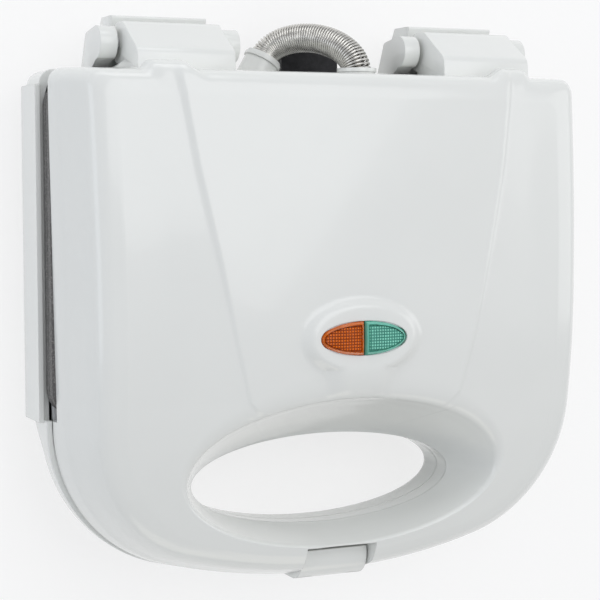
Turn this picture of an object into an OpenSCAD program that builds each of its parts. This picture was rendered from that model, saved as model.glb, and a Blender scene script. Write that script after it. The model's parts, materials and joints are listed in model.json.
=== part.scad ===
// Two-slice sandwich toaster with a hinged lid, cut-and-seal plates and a handle latch.
// +Z is up, +Y is the hinge side and -Y the handle side. The origin lies on the surface that
// the feet stand on, in the middle of the width and of the depth. All sizes in millimetres.

/* [Casing] */
// Width of the casing at the lid's rim
casing_w = 230; // [215:1:250]
// Depth of the whole toaster, from the handle to the rear stand faces
total_d = 229; // [215:1:245]
// How far the rear stand faces lie behind the casing's rear wall
stand_d = 21.5; // [20:0.5:26]
// Radius of the two front corners in plan
corner_r = 60; // [50:1:66]
// How far the bowed front edge runs ahead of the corner arcs
front_bow = 7.5; // [6:0.5:12]
// Radius of the two rear corners in plan
rear_corner_r = 6; // [4:0.5:10]
// Wall thickness of the base and lid shells
wall = 2.2; // [1.8:0.1:3]
// Height of the lid's crown above the table
crown_h = 83; // [78:1:92]
// How far the crown falls towards the handle bar
crown_fall_front = 24; // [16:1:26]
// How far the crown falls towards the hinge
crown_fall_rear = 5.5; // [3.5:0.5:12]
// How far the crown falls towards each side
crown_fall_side = 9; // [3:0.5:11]
// Height of the base's flat bottom above the table
bottom_h = 4; // [3:0.5:6]
// Height of the underside of the handle's lower half
handle_under_h = 19; // [16:1:22]

/* [Parting line] */
// Height at which the base and the lid meet round the handle
parting_h = 37; // [36:0.5:39]
// Gap between the base and the lid at the parting line
parting_gap = 0.4; // [0.3:0.1:1]
// Height of the side slot in which the plates' edges show
slot_h = 8.5; // [7.5:0.5:10]
// How far behind the handle hole the side slot begins
slot_back = 10.5; // [8:0.5:14]
// How far the base's side walls stand out beside the slot
side_step = 2; // [1:0.5:3]
// How far the lid narrows on each side towards the handle
lid_taper = 2.2; // [1:0.2:3]
// Depth of the groove under the plates' edges, below the side slot
slot_groove = 1.2; // [0.8:0.2:2]

/* [Handle] */
// Width of the handle hole
hole_w = 117; // [100:1:124]
// Depth of the handle hole from front to rear
hole_d = 37; // [34:1:39]
// Depth of the handle bar in front of the hole
bar_d = 22.5; // [21:0.5:26]
// Width of the funnel round the handle hole at the lid's top
funnel_w = 140; // [130:1:146]
// Height of the hole's upright wall in the lid, up to the funnel
hole_lip = 9; // [3:0.5:10]
// Radius of the rounding at the hole's lower edge, under the fingers
hole_round = 9; // [5:0.5:10]
// How far the funnel reaches behind the hole
funnel_back = 20; // [14:1:22]
// How far the bar's rounded inner edge reaches ahead of the hole
funnel_front = 7; // [5:0.5:9]

/* [Plates] */
// How far the plates' edges lie inside the casing's sides
plate_side_gap = 1; // [1:0.5:4]
// How far the plates' edges lie inside the casing's rear wall
plate_rear_gap = 4.5; // [4:0.5:7]
// Thickness of a plate's flange
flange_t = 4; // [3.2:0.2:4]
// Corner radius of a plate
plate_r = 10; // [6:1:14]
// Width of the plates' rim beside the two fields
rim_side = 15; // [13:0.5:20]
// Width of the plates' rim before and behind the fields
rim_end = 12.5; // [11.5:0.5:18]
// Width of the bridge between the two fields
bridge_w = 14; // [12:1:18]
// Width of the cutting ridge across each field
ridge_w = 8; // [6:0.5:12]
// Depth of the pockets
pocket_depth = 10.5; // [8:0.5:11]
// How far a pocket's walls lean in over its depth
pocket_lean = 6; // [4:0.5:8]
// Wall thickness of the plates below the flange
plate_wall = 2; // [1.6:0.2:2.6]

/* [Heating] */
// Diameter of the tubular heating elements
element_d = 6.5; // [5:0.5:8]
// Distance between the two long runs of an element
element_span = 62; // [54:2:70]
// Length of an element's straight runs
element_run = 100; // [80:2:110]
// Sheet thickness of the reflector trays
reflector_t = 0.8; // [0.6:0.1:1.2]
// Diameter of the thermostat's can
thermostat_d = 16; // [14:1:18]

/* [Hinge] */
// Diameter of the hinge pins
pin_d = 5; // [4:0.5:6]
// Running clearance round each hinge pin, on the radius
pin_clear = 0.05; // [0.03:0.01:0.1]
// Height of the hinge axis
hinge_h = 42; // [41:0.5:44]
// How far the hinge axis lies behind the casing's rear wall
hinge_back = 10; // [9.5:0.5:11]
// Radius of the lid's hinge housings round the pin
knuckle_r = 8; // [7:0.5:8.5]
// Radius of the base's hinge lugs round the pin
lug_r = 6.5; // [5:0.5:7]
// How far the middle of each hinge lies inside the casing's side
hinge_inset = 49; // [45:1:53]
// Width of each hinge housing of the lid
boss_w = 40; // [34:1:44]
// Width of each hinge lug of the base
lug_w = 7; // [6:0.5:12]
// Gap between a hinge housing and the lug beside it
lug_gap = 2; // [1:0.5:3]
// Height of the rear stand faces
stand_h = 13; // [9:1:16]

/* [Latch] */
// Width of the latch opening in the lid
latch_w = 31; // [26:1:36]
// Gap on each side of the latch clip
latch_gap = 0.8; // [0.5:0.1:1.5]
// Depth of the latch opening behind the handle's front
latch_d = 15.5; // [14:0.5:16]
// Diameter of the latch's pivot pin
latch_pin_d = 3; // [2.5:0.5:4]
// Thickness of the latch clip
clip_t = 2.4; // [2:0.2:3]

/* [Lamps] */
// Length of the pair of lenses
lens_l = 37.4; // [34:0.2:40]
// Greatest width of the lenses
lens_w = 13.4; // [11:0.2:15]
// Radius of the lenses' two long sides
lens_side_r = 41; // [36:1:60]
// Middle of the lenses, ahead of the origin
lens_y = -12.5; // [-15:0.5:0]
// Length of the raised oval round the lenses
mound_l = 52; // [48:1:56]
// Width of the raised oval round the lenses
mound_w = 31; // [27:1:33]
// Height of the raised oval above the crown
mound_h = 2; // [1.5:0.5:4]
// Height of the lenses above the raised oval
lens_rise = 1.5; // [1:0.5:3]

/* [Conduit and cord inlet] */
// Outer diameter of the wound conduit
conduit_d = 12; // [10:0.5:13]
// Radius of the conduit's bend
conduit_r = 15; // [14.5:0.5:16]
// Height of the conduit where it leaves the base
conduit_low_h = 22; // [20:0.5:22]
// Height of the conduit where it enters the lid
conduit_high_h = 52.5; // [52.5:0.5:56]
// Diameter of the bore for the mains lead
cord_bore = 7.4; // [6:0.2:8]
// Width of the black cord inlet
inlet_w = 26; // [24:1:27]
// How far the black cord inlet stands out of the rear wall
inlet_d = 10.5; // [8:0.5:11]

/* [Feet and screws] */
// Diameter of the rubber feet
foot_d = 15; // [12:1:18]
// Depth to which a foot is seated in the base
foot_seat = 1.2; // [0.8:0.2:1.6]
// Diameter of the casing and plate screws
screw_d = 3; // [2.5:0.5:3.5]
// Diameter of the screw heads
head_d = 5.6; // [5:0.2:6.4]

/* [Hidden] */
$fn = 48;

white = [0.88, 0.89, 0.90];
steel = [0.72, 0.72, 0.73];
silver = [0.83, 0.83, 0.82];
coated = [0.20, 0.20, 0.20];
black = [0.08, 0.08, 0.08];

// Plan of the casing
half_w = casing_w / 2;
front_y = -total_d / 2;
rear_y = total_d / 2 - stand_d;
corner_x = half_w - corner_r;
corner_y = front_y + corner_r + front_bow;
front_arc_r = (corner_x * corner_x + pow(corner_r + front_bow, 2) - corner_r * corner_r)
    / (2 * front_bow);
front_arc_y = front_y + front_arc_r;
join_a = atan2(corner_y - front_arc_y, corner_x);
hole_y = front_y + bar_d + hole_d / 2;
funnel_rear_y = hole_y + hole_d / 2 + funnel_back;
funnel_front_y = hole_y - hole_d / 2 - funnel_front;
funnel_y = (funnel_rear_y + funnel_front_y) / 2;
funnel_half_d = (funnel_rear_y - funnel_front_y) / 2;

// Heights of the parting line and of the side slot
base_rim = parting_h - parting_gap / 2;
lid_rim = parting_h + parting_gap / 2;
slot_lo = parting_h + 0.75 - slot_h / 2;
slot_hi = slot_lo + slot_h;
slot_front_y = hole_y + hole_d / 2 + slot_back;
frame_t = 2.5;
frame_clear = 1.2;
step_wall = 2.5;

// Hinge, seen from the side
hinge_y = rear_y + hinge_back;
stand_y = total_d / 2;
boss_x = half_w - hinge_inset;
lug_out_x = boss_x + boss_w / 2 + lug_gap + lug_w / 2;
lug_in_x = boss_x - boss_w / 2 - lug_gap - lug_w / 2;
pin_in = lug_in_x - lug_w / 2 + 1;
pin_out = lug_out_x + lug_w / 2 - 2.2;
pin_fit = 0.02;
housing_rise = 6;
housing_reach = norm([knuckle_r, housing_rise]);
trough_h = hinge_h - housing_reach;
stand_top = trough_h + 2.5;
ear_in = boss_x + 2;
ear_out = boss_x + boss_w / 2 + 4;
ear_d = 3.5;

// Plates and the fields in them
plate_front = slot_front_y + 2;
plate_rear = rear_y - plate_rear_gap;
plate_w = casing_w - 2 * plate_side_gap;
plate_d = plate_rear - plate_front;
plate_mid = (plate_front + plate_rear) / 2;
field_w = (plate_w - bridge_w) / 2 - rim_side;
field_d = plate_d - 2 * rim_end;
field_x = bridge_w / 2 + field_w / 2;
opening_x = bridge_w / 2 + field_w + plate_wall + 1;
opening_y = field_d / 2 + plate_wall + 1;
plate_screw_x = field_x;
plate_screw_y = (opening_y + plate_d / 2) / 2;
plate_screw_places = [for (s = [-1, 1], t = [-1, 1]) [s * plate_screw_x, plate_mid + t * plate_screw_y]];
pocket_out = pocket_depth + plate_wall;
element_gap = 0.3;
element_off = pocket_out - flange_t + element_gap + element_d / 2;
strap_t = 1;
strap_off = element_off + element_d / 2 + element_gap;
strap_w = 9;
tray_w = 2 * (field_x + field_w / 2 - 5);
tray_d = field_d - 8;
tray_lip = 4;

// Screws that hold the frames to the shells, rear pair and front pair
post_rear = [opening_x + 3.5, plate_mid + opening_y + 4.5];
post_front = [half_w - 27, hole_y + 11];
post_r = 4;
boss_r = 4.5;
post_places = [
    [post_rear.x, post_rear.y], [-post_rear.x, post_rear.y],
    [post_front.x, post_front.y], [-post_front.x, post_front.y]
];
head_h = 2;
head_seat = 2.5;

// Latch
latch_y = front_y + 9.5;
latch_h = parting_h + 14;
latch_back = front_y + latch_d;
clip_w = latch_w - 2 * latch_gap;
clip_front = front_y + 0.1;
clip_r = 9.8;
clip_h = latch_h + 6.2;
catch_front = clip_front + clip_t + 0.8;
catch_low = handle_under_h + 4.8;
catch_back = front_y + 10.5;
hook_h = catch_low - 0.6;
hook_reach = 7;

// Lamps
lens_top = crown_h + mound_h + lens_rise;
holder_wall = 1.2;
holder_low = crown_h - 12;
lamp_d = 5.5;
lamp_h = crown_h - 6.5;

// Conduit
conduit_start_a = 150;
conduit_x = -2.5;
conduit_y = total_d / 2 - conduit_d / 2 - conduit_r - 0.3;
conduit_wall = 1.4;
ferrule_d = conduit_d + 3;
inlet_x = 7;
inlet_tall = cord_bore + 4;
inlet_h = bottom_h + 3 + inlet_tall / 2;
clamp_y = rear_y - 13;
clamp_half = cord_bore / 2 + 4.3;

function smooth(t) = t <= 0 ? 0 : t >= 1 ? 1 : t * t * (3 - 2 * t);
function mix(a, b, t) = a + (b - a) * t;
function unit(v) = v / norm(v);
function arc(cx, cy, r, a0, a1, n, first) =
    [for (i = [first:n]) let (a = mix(a0, a1, i / n)) [cx + r * cos(a), cy + r * sin(a)]];
function ear(x) = min(smooth((ear_out + 2 - x) / 5), smooth((x - ear_in) / 8));

// Right half of the plan outline, from the middle of the front to the middle of the rear
ear_stations = [ear_out + 2, ear_out, ear_out - 3, ear_out - 6, ear_in + 8, ear_in + 4, ear_in];
half_outline = concat(
    arc(0, front_arc_y, front_arc_r, -90, join_a, 5, 0),
    arc(corner_x, corner_y, corner_r, join_a, 0, 8, 1),
    [for (i = [1:4]) [half_w, mix(corner_y, rear_y - rear_corner_r, i / 4)]],
    arc(half_w - rear_corner_r, rear_y - rear_corner_r, rear_corner_r, 0, 90, 3, 1),
    [for (x = ear_stations) [x, rear_y]],
    [for (x = [40, 20, 0]) [x, rear_y]]
);
outline = concat(
    half_outline,
    [for (i = [len(half_outline) - 2:-1:1]) [-half_outline[i].x, half_outline[i].y]]
);

// The same outline with its points half a step further on; the cavities use it, so that
// none of their corners falls on an edge of the outside
inner_outline = [
    for (i = [0:len(outline) - 1]) (outline[i] + outline[(i + 1) % len(outline)]) / 2
];
function outline_for(g) = g > 0 ? inner_outline : outline;

// A point of the outline drawn in by dx at the sides, df at the front and dr at the rear
function drawn_in(p, dx, df, dr) =
    [p.x * (half_w - dx) / half_w, p.y < 0 ? p.y * (1 + df / front_y) : p.y * (1 - dr / rear_y)];
// A place of the outline as the lid has it, narrower towards the handle
function lid_place(p) =
    [p.x * (1 - lid_taper / half_w * min(1, (rear_y - p.y) / (rear_y - corner_y))), p.y];

// Where the ray from the hole's middle towards p meets the hole's edge, grown by g
function hole_point(p, g) =
    let (v = unit([p.x, p.y - hole_y]), a = v.x / (hole_w / 2 + g), b = v.y / (hole_d / 2 + g))
    [0, hole_y] + v / sqrt(a * a + b * b);
// Where the same ray meets the funnel's upper edge, grown by g
function funnel_point(p, g) =
    let (
        v = unit([p.x, p.y - hole_y]),
        ra = funnel_w / 2 + g,
        rb = funnel_half_d + g,
        m = hole_y - funnel_y,
        qa = v.x * v.x / (ra * ra) + v.y * v.y / (rb * rb),
        qb = 2 * m * v.y / (rb * rb),
        qc = m * m / (rb * rb) - 1
    )
    [0, hole_y] + v * (-qb + sqrt(qb * qb - 4 * qa * qc)) / (2 * qa);

// Height of the lid's crown over a place in plan
function crown(p) =
    crown_h - crown_fall_side * pow(p.x / half_w, 2)
    - (p.y < 0 ? crown_fall_front * pow(p.y / front_y, 2) : crown_fall_rear * pow(p.y / rear_y, 2));
// Height of the base's underside over a place in plan
function underside(p) =
    mix(bottom_h, handle_under_h, smooth((slot_front_y + 10 - p.y) / 26));
function raised(p, z) = [p.x, p.y, z];

// The lid's side wall and shoulder: share of the height, and how far it is drawn in
// at the sides, at the front and at the rear, and how much of the hinge ears shows
lid_profile = [
    [0, 0, 0, 0, 0], [0.16, 0.3, 0.3, 0, 0], [0.42, 2.4, 1.4, 0.4, 1], [0.7, 5.2, 3.2, 0.8, 1],
    [0.86, 7.6, 5, 1.6, 1], [0.95, 10.4, 7, 3, 0.9], [0.99, 14, 9, 6, 0.5], [1, 19, 11.2, 11, 0]
];
// The funnel: share of the way from its upper edge to the hole, and share of the drop
funnel_profile = [[0, 0], [0.1, 0.07], [0.3, 0.3], [0.6, 0.62], [0.88, 0.86], [1, 1]];
// The base's wall: height over the underside, and how far it is drawn in
base_profile = [[9, 0.2, 0.2, 0.2], [4.5, 1.6, 1, 1], [1.4, 5, 3, 2.6], [0, 11, 6.4, 6]];

function lid_point(p, row, g) =
    let (
        lift = p.y >= rear_y - 0.01 ? ear_d * ear(abs(p.x)) * row[4] : 0,
        q = drawn_in(lid_place(p), row[1] + g, row[2] + g, row[3] + g) + [0, lift],
        top = crown(q) - g
    )
    raised(q, mix(lid_rim, top, row[0]));
function lid_rings(g, low) =
    let (last = lid_profile[len(lid_profile) - 1])
    concat(
        [[for (p = outline_for(g)) raised(drawn_in(lid_place(p), g, g, g), low)]],
        [for (k = [1:len(lid_profile) - 1]) [for (p = outline_for(g)) lid_point(p, lid_profile[k], g)]],
        [for (u = [0.25, 0.5, 0.8]) [
            for (p = outline_for(g))
                let (
                    s = lid_point(p, last, g),
                    f = funnel_point(p, g),
                    q = mix([s.x, s.y], f, u)
                )
                raised(q, crown(q) - g)
        ]],
        [for (row = funnel_profile) [
            for (p = outline_for(g))
                let (
                    f = funnel_point(p, g),
                    e = hole_point(p, g),
                    q = mix(f, e, row[0])
                )
                raised(q, mix(crown(f) - g, low + hole_lip, row[1]))
        ]],
        [[for (p = outline_for(g)) raised(hole_point(p, g), low)]]
    );
function base_point(p, row, g) =
    let (q = drawn_in(p, row[1] + g, row[2] + g, row[3] + g))
    raised(q, underside(q) + row[0] + g);
function base_rings(g, top) =
    let (last = base_profile[len(base_profile) - 1], r = hole_round)
    concat(
        [[for (p = outline_for(g)) raised(drawn_in(p, g, g, g), top)]],
        [for (row = base_profile) [for (p = outline_for(g)) base_point(p, row, g)]],
        [for (u = [0.3, 0.6, 0.85, 1]) [
            for (p = outline_for(g))
                let (
                    s = base_point(p, last, g),
                    q = mix([s.x, s.y], hole_point(p, r), u)
                )
                raised(q, underside(q) + g)
        ]],
        [for (a = [30, 60, 90]) [
            for (p = outline_for(g))
                let (e = hole_point(p, r - (r - g) * sin(a)))
                raised(e, underside(hole_point(p, r)) + r - (r - g) * cos(a))
        ]],
        [[for (p = outline_for(g)) raised(hole_point(p, g), top)]]
    );

// A closed surface through rings of equally many points, the last ring joined to the first
module ring_loft(rings, turned) {
    n = len(rings[0]);
    m = len(rings);
    points = [for (ring = rings) each ring];
    faces = [
        for (k = [0:m - 1], i = [0:n - 1])
            let (
                a = k * n + i,
                b = k * n + (i + 1) % n,
                c = (k + 1) % m * n + (i + 1) % n,
                d = (k + 1) % m * n + i
            )
            each turned ? [[a, b, c], [a, c, d]] : [[a, d, c], [a, c, b]]
    ];
    polyhedron(points, faces, convexity = 8);
}

// A round tube along a path; ref is a direction that the path never runs along
module sweep(path, r, sides, ref = [0, 0, 1]) {
    m = len(path);
    rings = [
        for (k = [0:m - 1])
            let (
                t = unit(path[min(k + 1, m - 1)] - path[max(k - 1, 0)]),
                u = unit(cross(ref, t)),
                v = cross(t, u)
            )
            for (i = [0:sides - 1])
                let (a = 360 * i / sides) path[k] + r * (cos(a) * u + sin(a) * v)
    ];
    sides_faces = [
        for (k = [0:m - 2], i = [0:sides - 1])
            let (a = k * sides + i, b = k * sides + (i + 1) % sides)
            each [[a, a + sides, b + sides], [a, b + sides, b]]
    ];
    ends = [[for (i = [0:sides - 1]) i], [for (i = [sides - 1:-1:0]) (m - 1) * sides + i]];
    polyhedron(rings, concat(sides_faces, ends), convexity = 8);
}

module slab(points, low, high) {
    translate([0, 0, low]) linear_extrude(high - low) polygon(points);
}
module block(x0, x1, y0, y1, z0, z1) {
    translate([x0, y0, z0]) cube([x1 - x0, y1 - y0, z1 - z0]);
}
module rod_x(x0, x1, y, z, r) {
    translate([x0, y, z]) rotate([0, 90, 0]) cylinder(h = x1 - x0, r = r);
}
module rod_y(x, y0, y1, z, r) {
    translate([x, y0, z]) rotate([-90, 0, 0]) cylinder(h = y1 - y0, r = r);
}
module rod_z(place, z0, z1, r) {
    translate([place.x, place.y, z0]) cylinder(h = z1 - z0, r = r);
}
module mirrored() {
    children();
    mirror([1, 0, 0]) children();
}
// Turns what is drawn for the lower half of the cooking chamber into its upper counterpart
module upper_half() {
    translate([0, 0, slot_lo + slot_hi]) mirror([0, 0, 1]) children();
}

// ---------- casing, lower half ----------
// The stand under a hinge housing; its hollowed top leaves the housing room to swing
module hinge_stand_profile() {
    polygon([
        [rear_y - wall, stand_top - stand_h - 8], [stand_y - 4, stand_top - stand_h - 2.5],
        [stand_y, stand_top - stand_h], [stand_y, stand_top],
        [hinge_y + 3.5, trough_h], [rear_y - wall, trough_h]
    ]);
}
module hinge_lug(x) {
    translate([x - lug_w / 2, 0, 0]) rotate([90, 0, 90]) linear_extrude(lug_w) union() {
        translate([hinge_y, hinge_h]) circle(lug_r);
        polygon([
            [hinge_y - lug_r, hinge_h], [hinge_y + lug_r, hinge_h],
            [hinge_y + lug_r - 2, trough_h - 3], [rear_y - wall, trough_h - 11], [rear_y - wall, trough_h]
        ]);
    }
}
module base_shell() {
    color(white) difference() {
        union() {
            difference() {
                ring_loft(base_rings(0, base_rim), true);
                difference() {
                    ring_loft(base_rings(wall, base_rim + 1), true);
                    for (p = post_places)
                        rod_z(p, 0, underside(p) + wall + head_seat + 1.5, boss_r);
                    for (s = [-1, 1]) rod_z(
                        [inlet_x + s * (clamp_half - 2.6), clamp_y], 0, inlet_h - 1, screw_d / 2 + 1.1
                    );
                    block(-latch_w / 2 - 3, latch_w / 2 + 3, front_y, catch_back, catch_low, base_rim + 2);
                }
                block(
                    -half_w - 5, half_w + 5, slot_front_y, rear_y + 5, slot_lo - slot_groove, base_rim + 1
                );
            }
            // The ledge beside the slot, with the groove under the plates' edges behind its rim
            mirrored() {
                block(
                    half_w - wall / 2, half_w + side_step, slot_front_y - 1, rear_y - rear_corner_r,
                    bottom_h + 9, slot_lo - slot_groove
                );
                block(
                    half_w, half_w + side_step, slot_front_y - 1, rear_y - rear_corner_r,
                    slot_lo - slot_groove - 1, slot_lo
                );
            }
            mirrored() {
                translate([boss_x - boss_w / 2, 0, 0]) rotate([90, 0, 90])
                    linear_extrude(boss_w) hinge_stand_profile();
                hinge_lug(lug_in_x);
                hinge_lug(lug_out_x);
            }
        }
        // Recess in which the latch clip lies, and the ledge that its hook catches
        block(-latch_w / 2 - 0.8, latch_w / 2 + 0.8, front_y - 5, catch_front, 0, base_rim + 2);
        block(-latch_w / 2 - 0.8, latch_w / 2 + 0.8, front_y - 5, catch_back + 1, 0, catch_low);
        mirrored() rod_x(
            lug_in_x - lug_w / 2 - 1, lug_out_x + lug_w / 2 - 2, hinge_y, hinge_h, pin_d / 2 + pin_fit
        );
        for (p = post_places) {
            rod_z(p, 0, underside(p) + wall + head_seat + 2.5, screw_d / 2 + 0.2);
            rod_z(p, 0, underside(p) + head_seat, head_d / 2 + 0.3);
        }
        for (p = foot_places) rod_z(p, 0, bottom_h + foot_seat, foot_d / 2);
        // Openings for the mains lead and for the conduit's ferrule
        block(
            inlet_x - inlet_w / 2 + 3, inlet_x + inlet_w / 2 - 3, rear_y - 6, rear_y + 1,
            inlet_h - inlet_tall / 2 + 1, inlet_h + inlet_tall / 2 - 1
        );
        at_conduit_start() translate([0, 0, -8]) cylinder(h = 22, r = ferrule_d / 2 + 0.1);
        for (s = [-1, 1]) rod_z(
            [inlet_x + s * (clamp_half - 2.6), clamp_y], bottom_h + wall + 0.4, inlet_h, screw_d / 2 + pin_fit
        );
    }
}
foot_places = [for (s = [-1, 1], y = [rear_y - 22, plate_front + 22.5]) [s * (half_w - 30), y]];
module rubber_feet() {
    color(black) for (p = foot_places) translate([p.x, p.y, 0]) rotate_extrude()
        polygon([
            [0, 0], [foot_d / 2 - 2, 0], [foot_d / 2 - 1, 0.8],
            [foot_d / 2, bottom_h + foot_seat], [0, bottom_h + foot_seat]
        ]);
}
module frame_outline(of_lid) {
    d = wall + frame_clear;
    polygon([for (p = inner_outline) drawn_in(of_lid ? lid_place(p) : p, d, d, d)]);
}
module hole_outline(g) {
    polygon([for (p = inner_outline) hole_point(p, g)]);
}
// The inner moulding of the lower half; the lid's is the same one turned over, with its own posts
module frame_body(notch_y, rim, of_lid) {
    top = slot_lo;
    difference() {
        union() {
            translate([0, 0, top - frame_t]) linear_extrude(frame_t) difference() {
                frame_outline(of_lid);
                translate([-half_w, front_y - 1]) square([casing_w, slot_front_y - front_y - step_wall + 1]);
            }
            translate([0, 0, top - frame_t]) linear_extrude(rim - top + frame_t)
                intersection() {
                    frame_outline(of_lid);
                    translate([-half_w, slot_front_y - step_wall]) square([casing_w, step_wall]);
                }
            translate([0, 0, rim - frame_t]) linear_extrude(frame_t) intersection() {
                frame_outline(of_lid);
                translate([-half_w, front_y]) square([casing_w, slot_front_y - front_y - 0.01]);
            }
        }
        block(-opening_x, opening_x, plate_mid - opening_y, plate_mid + opening_y, 0, base_rim + 3);
        translate([0, 0, top - frame_t - 1]) linear_extrude(base_rim) hole_outline(wall + frame_clear);
        block(
            -latch_w / 2 - 3.3, latch_w / 2 + 3.3, front_y - 1, notch_y,
            top - frame_t - 1, base_rim + 3
        );
        for (p = plate_screw_places) rod_z(p, top - frame_t - 1, top + 1, screw_d / 2 + 0.2);
    }
}
module base_frame() {
    color(white) difference() {
        union() {
            frame_body(catch_back + frame_clear, base_rim, false);
            for (p = post_places) rod_z(
                p, underside(p) + wall + head_seat + 1.5, (p.y > 0 ? slot_lo : base_rim) - frame_t + 0.1,
                post_r
            );
        }
        for (p = post_places) rod_z(p, 0, slot_lo - frame_t + 1, screw_d / 2 + pin_fit);
    }
}
module base_screws() {
    color(silver) for (p = post_places) {
        rod_z(p, underside(p) + head_seat - head_h, underside(p) + head_seat, head_d / 2);
        rod_z(p, underside(p) + head_seat - 0.1, underside(p) + head_seat + 10, screw_d / 2);
    }
}

// ---------- plates ----------
// One pocket of a field as a slanted prism: the two triangles of a field lie either side of
// the cutting ridge, which runs across the field's diagonal
module pocket(side, grow, depth, top) {
    hx = field_w / 2;
    hy = field_d / 2;
    // Right-angled triangle on this side of the ridge, drawn in or out about its incentre
    kx = ridge_w / 2 * norm([hx, hy]) / hy;
    ky = ridge_w / 2 * norm([hx, hy]) / hx;
    corners = [[-hx, -hy + ky], [-hx, hy], [hx - kx, hy]];
    inner_r = (2 * hy - ky + 2 * hx - kx - norm(corners[2] - corners[0])) / 2;
    centre = [-hx + inner_r, hy - inner_r];
    upper = [for (c = corners) centre + (c - centre) * (1 + grow / inner_r)];
    lower = [for (c = corners) centre + (c - centre) * (1 + (grow - pocket_lean) / inner_r)];
    points = concat([for (c = upper) raised(c, top)], [for (c = lower) raised(c, top - depth)]);
    faces = [[0, 1, 2], [5, 4, 3], [0, 3, 4, 1], [1, 4, 5, 2], [2, 5, 3, 0]];
    rotate([0, 0, side > 0 ? 0 : 180]) polyhedron(points, faces);
}
module pockets(grow, depth, top) {
    mirrored() translate([field_x, plate_mid, 0]) for (side = [-1, 1])
        pocket(side, grow, depth, top);
}
module plate_outline() {
    x = plate_w / 2 - plate_r;
    union() {
        translate([-plate_w / 2, plate_front + plate_r]) square([plate_w, plate_d - 2 * plate_r]);
        translate([-x, plate_front]) square([2 * x, plate_d]);
        for (sx = [-x, x], y = [plate_front + plate_r, plate_rear - plate_r])
            translate([sx, y]) circle(plate_r);
    }
}
plate_top = slot_lo + flange_t;
module plate() {
    difference() {
        union() {
            translate([0, 0, slot_lo]) linear_extrude(flange_t) plate_outline();
            pockets(plate_wall, pocket_out, plate_top);
            rod_z([0, plate_mid], plate_top - pocket_out, slot_lo + 1, boss_r - 0.3);
        }
        pockets(0, pocket_depth, plate_top + 0.01);
        rod_z([0, plate_mid], 0, plate_top - 1.2, screw_d / 2 + pin_fit);
        for (p = plate_screw_places) rod_z(p, 0, plate_top - 1.2, screw_d / 2 + pin_fit);
    }
}
module plate_screws() {
    for (p = plate_screw_places) {
        rod_z(p, slot_lo - frame_t - head_h, slot_lo - frame_t, head_d / 2);
        rod_z(p, slot_lo - frame_t - 0.1, plate_top - 1.4, screw_d / 2);
    }
}
module lower_plate() {
    color(coated) plate();
}
module lower_plate_screws() {
    color(silver) plate_screws();
}

// ---------- heating ----------
element_h = slot_lo - element_off;
module element() {
    for (s = [-1, 1]) {
        rod_x(-element_run / 2, element_run / 2, plate_mid + s * element_span / 2, element_h, element_d / 2);
        // Cold pins at the ends, with their tabs
        rod_x(-element_run / 2 - 22, -element_run / 2 + 0.1, plate_mid + s * element_span / 2, element_h, 2);
    }
    translate([element_run / 2 - 0.01, plate_mid, element_h]) rotate([0, 0, -90])
        rotate_extrude(angle = 180) translate([element_span / 2, 0]) circle(element_d / 2);
}
// A strap across both runs, with the screw in the plate's middle boss that holds it and the tray
module element_clamps(head_low) {
    difference() {
        block(
            -strap_w / 2, strap_w / 2, plate_mid - element_span / 2 - 7, plate_mid + element_span / 2 + 7,
            slot_lo - strap_off - strap_t, slot_lo - strap_off
        );
        rod_z([0, plate_mid], 0, slot_lo, screw_d / 2 + 0.2);
    }
    rod_z([0, plate_mid], head_low, head_low + head_h, head_d / 2);
    rod_z([0, plate_mid], head_low + 0.1, plate_top - 1.4, screw_d / 2);
}
module reflector(top) {
    translate([0, plate_mid, 0]) difference() {
        block(-tray_w / 2, tray_w / 2, -tray_d / 2, tray_d / 2, top - reflector_t, top + tray_lip);
        block(
            -tray_w / 2 + reflector_t, tray_w / 2 - reflector_t, -tray_d / 2 + reflector_t,
            tray_d / 2 - reflector_t, top, top + tray_lip + 1
        );
        rod_z([0, 0], 0, slot_lo, screw_d / 2 + 0.2);
    }
}
strap_low = slot_lo - strap_off - strap_t;
module lower_element() {
    color(steel) element();
}
module lower_element_clamps() {
    color(silver) element_clamps(strap_low - reflector_t - head_h);
}
module lower_reflector() {
    color(silver) reflector(strap_low);
}
fuse_y = plate_mid + 24;
fuse_r = 2;
module thermal_fuse() {
    color(silver) rod_y(0, fuse_y - 9, fuse_y + 9, slot_lo - fuse_r - 0.2, fuse_r);
    color(silver) rod_y(0, fuse_y - 15, fuse_y - 8.9, slot_lo - fuse_r - 0.2, 0.5);
    color(silver) rod_y(0, fuse_y + 8.9, fuse_y + 15, slot_lo - fuse_r - 0.2, 0.5);
}
module thermal_fuse_clip() {
    color(silver) difference() {
        block(-3.4, 3.4, fuse_y - 3, fuse_y + 3, slot_lo - 2 * fuse_r - 1.2, slot_lo);
        rod_y(0, fuse_y - 4, fuse_y + 4, slot_lo - fuse_r - 0.2, fuse_r + 0.05);
        block(-fuse_r - 0.05, fuse_r + 0.05, fuse_y - 4, fuse_y + 4, slot_lo - fuse_r - 0.2, slot_lo + 1);
    }
}

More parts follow.
